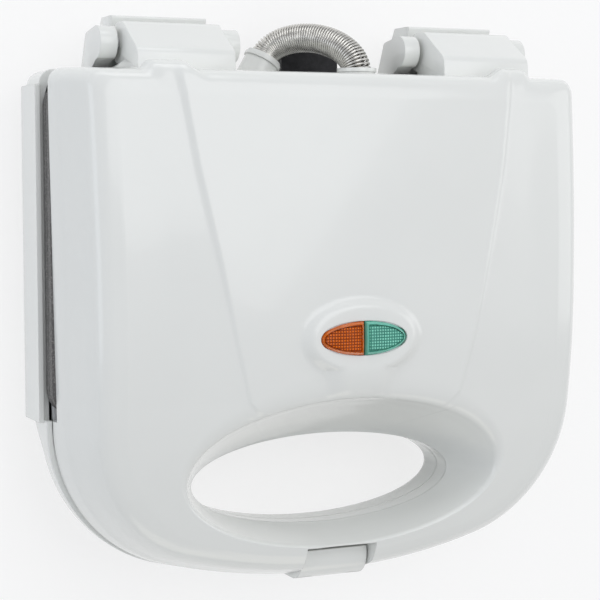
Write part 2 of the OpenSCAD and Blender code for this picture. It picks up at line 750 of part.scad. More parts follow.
// ---------- electrics of the base ----------
block_x = inlet_x + 42;
block_h = 12;
block_half = 4.5;
block_y = min(rear_y - wall - 8, plate_mid + tray_d / 2 + 1.5 + block_half);
block_l = 32;
module terminal_block() {
    low = bottom_h + wall;
    color([0.9, 0.88, 0.8]) difference() {
        block(
            block_x - block_l / 2, block_x + block_l / 2, block_y - block_half, block_y + block_half,
            low, low + block_h
        );
        for (k = [-1:1]) {
            rod_y(block_x + k * 10, block_y - 5, block_y + 5, low + 5, 1.8);
            rod_z([block_x + k * 10, block_y], low + 5, low + 13, 2);
        }
        for (k = [-1, 1]) block(
            block_x + k * 5 - 0.8, block_x + k * 5 + 0.8, block_y - 5, block_y + 5, low + 8, low + 13
        );
    }
}
module cord_inlet() {
    low = inlet_h - inlet_tall / 2;
    color(black) difference() {
        union() {
            block(
                inlet_x - inlet_w / 2, inlet_x + inlet_w / 2, rear_y, rear_y + inlet_d, low, low + inlet_tall
            );
            block(
                inlet_x - inlet_w / 2 + 3, inlet_x + inlet_w / 2 - 3, rear_y - 5, rear_y + 0.5,
                low + 1, low + inlet_tall - 1
            );
        }
        rod_y(inlet_x, rear_y - 6, rear_y + inlet_d + 1, inlet_h, cord_bore / 2);
    }
}
module cord_clamp() {
    color([0.9, 0.88, 0.8]) difference() {
        block(
            inlet_x - clamp_half, inlet_x + clamp_half, clamp_y - 4, clamp_y + 4,
            inlet_h - 1, inlet_h + cord_bore / 2 + 1.6
        );
        rod_y(inlet_x, clamp_y - 5, clamp_y + 5, inlet_h, cord_bore / 2);
        for (s = [-1, 1]) rod_z(
            [inlet_x + s * (clamp_half - 2.6), clamp_y], inlet_h - 2, inlet_h + cord_bore, screw_d / 2 + 0.1
        );
    }
}
module cord_clamp_screws() {
    top = inlet_h + cord_bore / 2 + 1.6;
    color(silver) for (s = [-1, 1]) {
        rod_z([inlet_x + s * (clamp_half - 2.6), clamp_y], top, top + 1.8, head_d / 2 - 0.3);
        rod_z([inlet_x + s * (clamp_half - 2.6), clamp_y], bottom_h + wall + 0.8, top + 0.1, screw_d / 2);
    }
}
lead_r = 1.1;
module base_leads() {
    low = bottom_h + wall;
    pin_x = -element_run / 2 - 22;
    side_x = -opening_x + 5;
    over_lip = strap_low + tray_lip + lead_r + 0.6;
    // From the terminal block along the rear and the left side to the element's two cold pins
    for (k = [0, 1]) {
        y_end = plate_mid + (k == 0 ? 1 : -1) * element_span / 2;
        x = side_x - 3 * k;
        color([0.85, 0.82, 0.75]) sweep([
            [block_x - 10 * k, block_y - 4.6, low + 5], [block_x - 10 * k, block_y - 6.5, low + 5],
            [block_x - 14 - 10 * k, block_y - 7 + 0.2 * k, low + 2 + 2.6 * k],
            [x + 24, block_y - 7, low + 2 + 2.6 * k], [x + 3, block_y - 12, low + 6 + 2.6 * k],
            [x, block_y - 20, over_lip], [x, y_end + 6, over_lip], [x + 5, y_end, over_lip],
            [pin_x - 8, y_end, over_lip], [pin_x - 0.2, y_end, element_h]
        ], lead_r, 8);
    }
    // From the terminal block to the conduit
    for (k = [0, 1]) color([0.85, 0.82, 0.75]) sweep([
        [block_x - 10 * k, block_y + 4.6, low + 5], [block_x - 10 * k - 1, block_y + 6.6, low + 6],
        [block_x - 22 - 10 * k, block_y + 8.2, low + 14 + 2.6 * k],
        [conduit_x + 2, block_y + 3, conduit_low_h - 0.3 + 2.6 * k],
        [conduit_x - 12, block_y, conduit_low_h - 1 + 2.4 * k],
        base_end + base_way * 22 + [0, 0, -1.3 + 2.6 * k],
        base_end + base_way * 14.5 + [0, 0, -1.3 + 2.6 * k]
    ], lead_r, 8);
}

// ---------- conduit ----------
function conduit_point(a) = [
    conduit_x + conduit_r * cos(a), conduit_y + conduit_r * sin(a),
    mix(conduit_low_h, conduit_high_h, smooth((conduit_start_a - a) / conduit_start_a))
];
base_end = conduit_point(conduit_start_a);
base_way = [-sin(conduit_start_a), cos(conduit_start_a), 0];
conduit_bend = [for (i = [0:20]) conduit_point(conduit_start_a * (1 - i / 20))];
conduit_path = concat([base_end + 8 * base_way], conduit_bend, [conduit_point(0) - [0, 3, 0]]);
module at_conduit_start() {
    translate(base_end) rotate([0, 90, atan2(base_way.y, base_way.x)]) children();
}
module base_ferrule() {
    color(white) at_conduit_start() difference() {
        union() {
            cylinder(h = 14, r = ferrule_d / 2);
            translate([0, 0, 1]) cylinder(h = 1.6, r = ferrule_d / 2 + 0.6);
        }
        translate([0, 0, -1]) cylinder(h = 10, r = conduit_d / 2 + 0.3);
        cylinder(h = 20, r = conduit_d / 2 - 1.6);
    }
}
module lid_ferrule() {
    color(white) difference() {
        union() {
            rod_y(conduit_x + conduit_r, rear_y - 6, rear_y + 1, conduit_high_h, ferrule_d / 2);
            rod_y(conduit_x + conduit_r, rear_y + 0.2, rear_y + 1.8, conduit_high_h, ferrule_d / 2 + 0.6);
        }
        rod_y(conduit_x + conduit_r, rear_y - 5, rear_y + 3, conduit_high_h, conduit_d / 2 + 0.7);
        rod_y(conduit_x + conduit_r, rear_y - 8, rear_y + 3, conduit_high_h, conduit_d / 2 - 1.6);
    }
}
module wire_conduit() {
    color(steel) difference() {
        sweep(conduit_path, conduit_d / 2, 16);
        sweep(
            concat([base_end + 9 * base_way], conduit_bend, [conduit_point(0) - [0, 4, 0]]),
            conduit_d / 2 - conduit_wall, 10
        );
    }
}
module conduit_leads() {
    path = concat(
        [base_end + 13.8 * base_way], conduit_path, [conduit_point(0) - [0, 8, 0]]
    );
    for (a = [90, 210, 330]) color([0.85, 0.82, 0.75]) sweep([
        for (k = [0:len(path) - 1])
            let (
                t = unit(path[min(k + 1, len(path) - 1)] - path[max(k - 1, 0)]),
                u = unit(cross([0, 0, 1], t)),
                v = cross(t, u)
            )
            path[k] + 2.2 * (cos(a) * u + sin(a) * v)
    ], lead_r, 6);
}

// ---------- hinge ----------
module hinge_pin_right() {
    color(steel) rod_x(pin_in, pin_out, hinge_y, hinge_h, pin_d / 2);
}
module hinge_pin_left() {
    mirror([1, 0, 0]) hinge_pin_right();
}
// The lid's housing round a hinge pin: a ramp down from the lid's rear wall, hollow above the pin
module housing_outer() {
    translate([boss_x - boss_w / 2, 0, 0]) rotate([90, 0, 90]) linear_extrude(boss_w) union() {
        translate([hinge_y, hinge_h]) circle(knuckle_r);
        polygon([
            [rear_y - 1, slot_hi + 1.2], [hinge_y - knuckle_r, hinge_h], [hinge_y + knuckle_r, hinge_h],
            [hinge_y + knuckle_r, hinge_h + housing_rise], [rear_y + 6.4, hinge_h + 23.3],
            [rear_y - 1.7, hinge_h + 24]
        ]);
    }
}
module housing_inner() {
    low = hinge_h + pin_d / 2 + 3.7;
    translate([boss_x - boss_w / 2 + wall, 0, 0]) rotate([90, 0, 90])
        linear_extrude(boss_w - 2 * wall) polygon([
            [rear_y - wall - 1, low], [hinge_y + knuckle_r - wall - 0.6, low],
            [rear_y + 5, hinge_h + 21.1], [rear_y - wall - 1, hinge_h + 21.3]
        ]);
}

// ---------- casing, upper half ----------
module mound() {
    steps = [[1, -1], [1, 0.1], [0.93, 0.5], [0.84, 0.82], [0.76, 1]];
    points = [
        for (s = steps, a = [0:9:351])
            let (p = [mound_l / 2 * s[0] * cos(a), lens_y + mound_w / 2 * s[0] * sin(a)])
            raised(p, s[1] < 0 ? crown(p) - wall : mix(crown(p), crown_h + mound_h, s[1]))
    ];
    n = 40;
    m = len(steps);
    faces = concat(
        [for (k = [0:m - 2], i = [0:n - 1])
            let (a = k * n + i, b = k * n + (i + 1) % n)
            each [[a, a + n, b + n], [a, b + n, b]]],
        [[for (i = [0:n - 1]) i], [for (i = [n - 1:-1:0]) (m - 1) * n + i]]
    );
    polyhedron(points, faces);
}
module lens_outline(g) {
    intersection() {
        translate([0, lens_y + lens_side_r - lens_w / 2]) circle(lens_side_r + g, $fn = 240);
        translate([0, lens_y - lens_side_r + lens_w / 2]) circle(lens_side_r + g, $fn = 240);
        translate([0, lens_y]) circle(lens_l / 2 + g, $fn = 240);
    }
}
module lid_shell() {
    color(white) difference() {
        union() {
            difference() {
                ring_loft(lid_rings(0, lid_rim), false);
                difference() {
                    ring_loft(lid_rings(wall, lid_rim - 1), false);
                    for (p = post_places)
                        rod_z(p, (p.y > 0 ? slot_hi : lid_rim) + frame_t + 2, crown_h + 5, boss_r);
                    block(
                        -latch_w / 2 - wall, latch_w / 2 + wall, front_y, latch_back + wall,
                        lid_rim - 2, crown_h
                    );
                }
                block(-half_w - 5, half_w + 5, slot_front_y, rear_y + 5, lid_rim - 1, slot_hi);
            }
            mound();
            mirrored() housing_outer();
        }
        mirrored() {
            housing_inner();
            rod_x(
                boss_x - boss_w / 2 - 1, boss_x + boss_w / 2 + 1, hinge_y, hinge_h, pin_d / 2 + pin_clear
            );
        }
        block(-latch_w / 2, latch_w / 2, front_y - 5, latch_back, lid_rim - 2, crown_h + 5);
        rod_x(
            -latch_w / 2 - wall + 0.3, latch_w / 2 + wall - 0.3, latch_y, latch_h, latch_pin_d / 2 + pin_fit
        );
        translate([0, 0, crown_h - 9]) linear_extrude(20) lens_outline(holder_wall + 0.1);
        for (p = post_places) rod_z(
            p, 0, (p.y > 0 ? slot_hi : lid_rim) + frame_t + 11, screw_d / 2 + pin_fit
        );
        rod_y(conduit_x + conduit_r, rear_y - 8, rear_y + 8, conduit_high_h, ferrule_d / 2 + 0.1);
    }
}
module lid_frame() {
    color(white) difference() {
        union() {
            upper_half() frame_body(latch_back + wall + frame_clear, slot_lo + slot_hi - lid_rim, true);
            for (p = post_places) let (low = p.y > 0 ? slot_hi : lid_rim)
                rod_z(p, low + frame_t - 0.5, low + frame_t + 2, boss_r);
        }
        for (p = post_places) let (low = p.y > 0 ? slot_hi : lid_rim) {
            rod_z(p, low - 1, low + frame_t + 3, screw_d / 2 + 0.2);
            rod_z(p, low - 1, low + head_h + 0.2, head_d / 2 + 0.3);
        }
    }
}
module lid_screws() {
    color(silver) for (p = post_places) let (low = (p.y > 0 ? slot_hi : lid_rim) + 0.2) {
        rod_z(p, low, low + head_h, head_d / 2);
        rod_z(p, low + head_h - 0.1, low + frame_t + 10, screw_d / 2);
    }
}
module upper_plate() {
    color(coated) upper_half() plate();
}
module upper_plate_screws() {
    color(silver) upper_half() plate_screws();
}
module upper_element() {
    color(steel) upper_half() element();
}
module upper_element_clamps() {
    color(silver) upper_half() element_clamps(strap_low - strap_t - reflector_t - head_h);
}
module upper_reflector() {
    color(silver) upper_half() reflector(strap_low - strap_t);
}
thermostat_place = [field_x - 25, plate_mid + 3];
thermostat_low = slot_hi - flange_t + pocket_out;
thermostat_high = slot_lo + slot_hi - strap_low;
module thermostat() {
    color([0.75, 0.72, 0.66]) {
        rod_z(thermostat_place, thermostat_low, thermostat_low + 2.4, thermostat_d / 2);
        rod_z(thermostat_place, thermostat_low + 2, thermostat_high, thermostat_d / 2 - 1);
        block(
            thermostat_place.x - 3, thermostat_place.x + 3, thermostat_place.y - thermostat_d / 2 - 5,
            thermostat_place.y + thermostat_d / 2 + 5, thermostat_low + 4, thermostat_low + 4.8
        );
    }
}
module thermostat_bracket() {
    color(silver) difference() {
        block(
            -strap_w / 2, thermostat_place.x + thermostat_d / 2 + 1, plate_mid - 5, plate_mid + 8,
            thermostat_high, thermostat_high + strap_t
        );
        rod_z([0, plate_mid], thermostat_high - 1, thermostat_high + 2, screw_d / 2 + 0.2);
    }
}

// ---------- indicator lamps ----------
lens_low = crown_h + mound_h - 3;
module lens_holder() {
    color([0.92, 0.93, 0.93]) difference() {
        union() {
            translate([0, 0, holder_low]) linear_extrude(crown_h + mound_h - 0.2 - holder_low)
                lens_outline(holder_wall);
            translate([0, 0, crown_h - wall - 4.6]) linear_extrude(2) lens_outline(holder_wall + 3);
        }
        for (s = [-1, 1]) intersection() {
            translate([0, 0, holder_low + holder_wall]) linear_extrude(30) lens_outline(-1);
            block(min(s * 0.6, s * lens_l), max(s * 0.6, s * lens_l), -half_w, half_w, 0, crown_h + 30);
        }
        translate([0, 0, lens_low]) linear_extrude(30) lens_outline(0.1);
        for (x = [-12, -6, 6, 12]) rod_z([x, lens_y], holder_low - 1, holder_low + 3, 0.6);
    }
    color([0.92, 0.93, 0.93]) for (x = [-9, 9])
        block(
            x - 1.5, x + 1.5, lens_y - 2, lens_y + 2,
            holder_low + holder_wall - 0.1, lamp_h - lamp_d / 2 - 0.2
        );
}
module lens_half(side) {
    intersection() {
        translate([0, 0, lens_low]) linear_extrude(lens_top - lens_low) lens_outline(0);
        translate([0, lens_y, lens_top - 4 * lens_l]) sphere(r = 4 * lens_l, $fn = 200);
        block(
            side > 0 ? 0.1 : -lens_l, side > 0 ? lens_l : -0.1, -half_w, half_w,
            0, crown_h + 30
        );
    }
}
module amber_lens() {
    color([0.95, 0.45, 0.05]) lens_half(-1);
}
module green_lens() {
    color([0.25, 0.75, 0.60]) lens_half(1);
}
module lamp(x) {
    rod_x(x - 3, x + 3, lens_y, lamp_h, lamp_d / 2);
    for (s = [-1, 1]) translate([x + 3 * s, lens_y, lamp_h]) sphere(r = lamp_d / 2);
}
module power_lamp() {
    color([0.9, 0.6, 0.4]) lamp(-9);
}
module ready_lamp() {
    color([0.7, 0.9, 0.8]) lamp(9);
}
module lamp_leads() {
    color([0.85, 0.82, 0.75]) for (x = [-12, -6, 6, 12])
        rod_z([x, lens_y], holder_low - 4, lamp_h - lamp_d / 2, 0.45);
}

// ---------- latch ----------
module clip_profile() {
    arc_y = clip_front + clip_r;
    arc_h = clip_h - clip_r;
    // Rounded top, straight front and the hook that turns in under the ledge
    difference() {
        union() {
            intersection() {
                translate([arc_y, arc_h]) circle(clip_r);
                translate([clip_front, arc_h]) square([clip_r + 3, clip_r + 1]);
            }
            translate([clip_front, hook_h - clip_t]) square([clip_t, arc_h - hook_h + clip_t + 0.01]);
            translate([clip_front, hook_h - clip_t]) square([hook_reach, clip_t]);
        }
        intersection() {
            translate([arc_y, arc_h]) circle(clip_r - clip_t);
            translate([clip_front, arc_h - 0.01]) square([clip_r + 3.1, clip_r]);
        }
    }
}
module latch_clip() {
    rib_w = 7;
    color(white) difference() {
        union() {
            translate([-clip_w / 2, 0, 0]) rotate([90, 0, 90]) linear_extrude(clip_w) clip_profile();
            for (x = [-clip_w / 2, clip_w / 2 - rib_w]) {
                rod_x(x, x + rib_w, latch_y, latch_h, latch_pin_d / 2 + 1.9);
                block(x, x + rib_w, clip_front + 1, latch_y, latch_h - 3.4, latch_h + 1);
            }
        }
        rod_x(-clip_w, clip_w, latch_y, latch_h, latch_pin_d / 2 + pin_clear);
    }
}
module latch_pin() {
    half_l = latch_w / 2 + wall - 0.5;
    color(steel) rod_x(-half_l, half_l, latch_y, latch_h, latch_pin_d / 2);
}
module latch_spring() {
    coil_r = latch_pin_d / 2 + 1.1;
    turns = 4;
    half_l = 5;
    last = 180 + 360 * turns;
    color(steel) sweep(concat(
        [[-half_l, latch_back - 0.6, latch_h + coil_r], [-half_l, latch_y + 1, latch_h + coil_r]],
        [for (a = [90:22.5:last]) [
            mix(-half_l, half_l, (a - 90) / (last - 90)), latch_y + coil_r * cos(a), latch_h + coil_r * sin(a)
        ]],
        [[half_l, latch_y - coil_r, latch_h - 1], [half_l, clip_front + clip_t + 0.5, latch_h - 10]]
    ), 0.35, 6, [1, 0, 0]);
}

base_shell();
base_frame();
lower_plate();
lower_element();
lower_element_clamps();
lower_reflector();
lower_plate_screws();
thermal_fuse();
thermal_fuse_clip();
terminal_block();
cord_inlet();
cord_clamp();
cord_clamp_screws();
base_leads();
base_screws();
rubber_feet();
base_ferrule();
hinge_pin_left();
hinge_pin_right();
wire_conduit();
conduit_leads();
lid_shell();
lid_frame();
upper_plate();
upper_element();
upper_element_clamps();
upper_reflector();
upper_plate_screws();
thermostat();
thermostat_bracket();
lens_holder();
amber_lens();
green_lens();
power_lamp();
ready_lamp();
lamp_leads();
lid_ferrule();
lid_screws();
latch_pin();
latch_spring();
latch_clip();
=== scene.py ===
import json
import math
import bpy
import numpy as np
from mathutils import Matrix, Vector


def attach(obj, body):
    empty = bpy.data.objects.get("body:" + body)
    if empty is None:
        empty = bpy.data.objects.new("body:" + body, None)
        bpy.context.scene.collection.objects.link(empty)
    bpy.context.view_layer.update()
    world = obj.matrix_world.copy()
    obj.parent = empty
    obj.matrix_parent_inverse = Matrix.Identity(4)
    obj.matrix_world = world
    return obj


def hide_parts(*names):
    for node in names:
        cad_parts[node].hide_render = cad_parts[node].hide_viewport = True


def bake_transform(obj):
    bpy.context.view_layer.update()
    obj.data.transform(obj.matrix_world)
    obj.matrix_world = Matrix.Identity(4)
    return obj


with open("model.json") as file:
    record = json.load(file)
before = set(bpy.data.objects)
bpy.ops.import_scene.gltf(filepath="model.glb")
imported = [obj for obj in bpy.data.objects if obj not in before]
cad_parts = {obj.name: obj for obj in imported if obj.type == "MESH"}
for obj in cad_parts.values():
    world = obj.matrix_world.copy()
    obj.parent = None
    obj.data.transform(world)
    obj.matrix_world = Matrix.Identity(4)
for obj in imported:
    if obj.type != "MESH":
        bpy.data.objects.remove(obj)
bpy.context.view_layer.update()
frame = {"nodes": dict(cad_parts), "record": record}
MM = 0.001

# ---------- sizes in millimetres, as in the part's source ----------
HALF_W, FRONT_Y, REAR_Y = 115.0, -114.5, 93.0
CORNER_X, CORNER_Y, CORNER_R = 55.0, -47.0, 60.0
ARC_R = (CORNER_X ** 2 + (CORNER_R + 7.5) ** 2 - CORNER_R ** 2) / 15.0
ARC_Y = FRONT_Y + ARC_R
REAR_R = 6.0
WALL = 2.2
CROWN_H, FALL_FRONT, FALL_REAR, FALL_SIDE = 83.0, 24.0, 5.5, 9.0
LID_TAPER = 2.2
HOLE_A, HOLE_B, HOLE_Y, HOLE_LIP, HOLE_ROUND = 58.5, 18.5, -73.5, 9.0, 9.0
FUNNEL_A, FUNNEL_B, FUNNEL_Y = 70.0, 32.0, -67.0
BOTTOM_H, HANDLE_H = 4.0, 19.0
BASE_RIM, LID_RIM = 36.8, 37.2
SLOT_FRONT, SLOT_LO, SLOT_HI, GROOVE_H = -44.5, 33.5, 42.0, 32.3
LENS_Y, LENS_W, LENS_END, LENS_PITCH = -12.5, 13.4, 18.7, 1.16
MOUND_TOP = 85.05
HINGE_Y, HINGE_H, STAND_Y, TROUGH_H = 103.0, 42.0, 114.5, 32.0
COND_X, COND_Y, COND_R, COND_LOW, COND_HIGH = -2.5, 93.2, 15.0, 22.0, 52.5
COIL_R, WIRE_R, WIRE_PITCH, LEAD_R, LEAD_OFF = 6.0, 0.5, 1.06, 1.1, 2.2
# Where a hinge's pieces begin and end along the pin, outwards from the middle
LUG_IN, HOUSING_IN, HOUSING_OUT, LUG_OUT = 37.0, 46.0, 86.0, 95.0
LUG_GAP, PIN_HOLE_R = 2.0, 2.52
CLIP_NOTCH, CLIP_BACK, CATCH_NOTCH = 15.5, -99.0, 16.3
LIP_GROOVE = 0.5
LENS_DIVIDE, LENS_RIM, LENS_GROOVE, LENS_TOP, LENS_FOOT = 0.2, 1.35, 1.75, 86.45, 82.6


# ---------- small helpers ----------
def smooth(t):
    t = np.clip(t, 0.0, 1.0)
    return t * t * (3 - 2 * t)


def spline(x, xs, ys):
    """Monotone cubic through the points, so a table of few rows gives a smooth profile."""
    xs, ys = np.asarray(xs, float), np.asarray(ys, float)
    h, d = np.diff(xs), np.diff(ys) / np.diff(xs)
    m = np.zeros(len(xs))
    m[0], m[-1] = d[0], d[-1]
    for i in range(1, len(xs) - 1):
        if d[i - 1] * d[i] > 0:
            a, b = 2 * h[i] + h[i - 1], h[i] + 2 * h[i - 1]
            m[i] = (a + b) / (a / d[i - 1] + b / d[i])
    x = np.clip(np.asarray(x, float), xs[0], xs[-1])
    k = np.clip(np.searchsorted(xs, x, side="right") - 1, 0, len(h) - 1)
    t = (x - xs[k]) / h[k]
    return (
        ys[k] * (1 + 2 * t) * (1 - t) ** 2 + m[k] * h[k] * t * (1 - t) ** 2
        + ys[k + 1] * t * t * (3 - 2 * t) + m[k + 1] * h[k] * t * t * (t - 1)
    )


def make(name, verts, faces, angle=32.0):
    """A mesh object from points in millimetres, smooth except along its sharp edges."""
    mesh = bpy.data.meshes.new(name)
    points = (np.asarray(verts, float) * MM).tolist()
    mesh.from_pydata(points, [], [list(map(int, f)) for f in faces])
    mesh.validate()
    mesh.update()
    obj = bpy.data.objects.new(name, mesh)
    bpy.context.scene.collection.objects.link(obj)
    soften(obj, angle)
    return obj


def soften(obj, angle=32.0):
    mesh = obj.data
    mesh.polygons.foreach_set("use_smooth", [True] * len(mesh.polygons))
    mesh.set_sharp_from_angle(angle=math.radians(angle))
    mesh.update()


def grid_faces(rows, cols, close_rows=False, close_cols=True, flip=False):
    r = np.arange(rows if close_rows else rows - 1)
    c = np.arange(cols if close_cols else cols - 1)
    r, c = np.meshgrid(r, c, indexing="ij")
    r, c = r.ravel(), c.ravel()
    r2, c2 = (r + 1) % rows, (c + 1) % cols
    quads = np.stack([r * cols + c, r * cols + c2, r2 * cols + c2, r2 * cols + c], 1)
    return (quads[:, ::-1] if flip else quads).tolist()


def bake_modifiers(obj):
    graph = bpy.context.evaluated_depsgraph_get()
    mesh = bpy.data.meshes.new_from_object(obj.evaluated_get(graph))
    old = obj.data
    obj.modifiers.clear()
    obj.data = mesh
    mesh.name = old.name
    return obj


def round_edges(obj, width, angle):
    """Rounds the edges that are sharper than the angle; the width is in millimetres."""
    mod = obj.modifiers.new("round", "BEVEL")
    mod.width, mod.segments = width * MM, 3
    mod.limit_method, mod.angle_limit = "ANGLE", math.radians(angle)
    mod.harden_normals = False
    return bake_modifiers(obj)


def boolean(obj, others, operation="DIFFERENCE"):
    for other in others:
        mod = obj.modifiers.new("cut", "BOOLEAN")
        mod.operation, mod.solver, mod.object = operation, "EXACT", other
    bake_modifiers(obj)
    for other in others:
        bpy.data.objects.remove(other, do_unlink=True)
    return obj


def cuboid(x0, x1, y0, y1, z0, z1, name="cutter"):
    v = [(x, y, z) for z in (z0, z1) for y in (y0, y1) for x in (x0, x1)]
    f = [(0, 2, 3, 1), (4, 5, 7, 6), (0, 1, 5, 4), (2, 6, 7, 3), (0, 4, 6, 2), (1, 3, 7, 5)]
    return make(name, v, f)


def prism(profile, axis, low, high, name="cutter", sharp=32.0):
    """A closed profile drawn out along x (profile in y, z), y (in z, x) or z (in x, y)."""
    n = len(profile)
    place = {
        "x": lambda a, b, t: (t, a, b), "y": lambda a, b, t: (b, t, a), "z": lambda a, b, t: (a, b, t)
    }[axis]
    v = [place(a, b, t) for t in (low, high) for a, b in profile]
    f = [list(range(n))[::-1], list(range(n, 2 * n))]
    f += [(i, (i + 1) % n, n + (i + 1) % n, n + i) for i in range(n)]
    return make(name, v, f, sharp)


def circle(cx, cy, r, n=48):
    turns = [2 * math.pi * i / n for i in range(n)]
    return [(cx + r * math.cos(a), cy + r * math.sin(a)) for a in turns]


def lens_half_width(x, g=0.0):
    """Half the width of the lens at x; its outline is an oval with slightly blunt ends."""
    return (LENS_W / 2 + g) * np.sqrt(np.maximum(1 - (np.abs(x) / (LENS_END + g)) ** 2.3, 0.0))


def lens_shape(g, n=60):
    x = (LENS_END + g) * np.sin(np.radians(np.linspace(90, -90, n)))
    w = lens_half_width(x, g)
    rear = [(a, LENS_Y + b) for a, b in zip(x, w)]
    return rear + [(a, LENS_Y - b) for a, b in zip(x[-2:0:-1], w[-2:0:-1])]


def rounded(profile, r, n=5):
    """The profile with its corners rounded to r, or to the number given for each corner."""
    out = []
    m = len(profile)
    for i in range(m):
        p = Vector(profile[i][:2])
        a, b = Vector(profile[i - 1][:2]), Vector(profile[(i + 1) % m][:2])
        rad = profile[i][2] if len(profile[i]) > 2 else r
        u, v = (a - p).normalized(), (b - p).normalized()
        ang = u.angle(v)
        cut = min(rad / math.tan(ang / 2), 0.49 * (a - p).length, 0.49 * (b - p).length)
        rad = cut * math.tan(ang / 2)
        if rad < 1e-4:
            out.append(tuple(p))
            continue
        c = p + (u + v).normalized() * (rad / math.sin(ang / 2))
        s, e = p + u * cut - c, p + v * cut - c
        a0 = math.atan2(s.y, s.x)
        turn = (math.atan2(e.y, e.x) - a0 + math.pi) % (2 * math.pi) - math.pi
        angles = [a0 + turn * k / n for k in range(n + 1)]
        out += [(c.x + rad * math.cos(t), c.y + rad * math.sin(t)) for t in angles]
    return out


def tube(path, radius, sides, name):
    """A round rod along a path, its rings carried along without twist."""
    path = np.asarray(path, float)
    tan = np.gradient(path, axis=0)
    tan /= np.linalg.norm(tan, axis=1)[:, None]
    ref = np.array([0.0, 0.0, 1.0]) if abs(tan[0, 2]) < 0.9 else np.array([1.0, 0.0, 0.0])
    u = np.cross(ref, tan[0])
    u /= np.linalg.norm(u)
    ang = np.linspace(0, 2 * np.pi, sides, endpoint=False)
    rings = []
    for p, t in zip(path, tan):
        u = u - t * np.dot(u, t)
        u /= np.linalg.norm(u)
        w = np.cross(t, u)
        rings.append(p + radius * (np.cos(ang)[:, None] * u + np.sin(ang)[:, None] * w))
    verts = np.concatenate(rings)
    faces = grid_faces(len(path), sides)
    faces += [list(range(sides))[::-1], list(range((len(path) - 1) * sides, len(path) * sides))]
    return make(name, verts, faces, 60.0)


# ---------- camera, as the photograph was taken ----------
camera_data = bpy.data.cameras.new("Camera")
camera_data.sensor_width, camera_data.lens = 36.0, 102.0
camera_data.clip_start, camera_data.clip_end = 0.05, 50.0
camera = bpy.data.objects.new("Camera", camera_data)
bpy.context.scene.collection.objects.link(camera)
bpy.context.scene.camera = camera
right, up = Vector((0.912, -0.003, 0.411)), Vector((0.031, 0.998, -0.063))
back = right.cross(up).normalized()
up = back.cross(right).normalized()
right = up.cross(back)
turn = Matrix((right, up, back)).transposed().to_4x4()
camera.matrix_world = Matrix.Translation(Vector((-295.8, 49.3, 680.1)) * MM) @ turn


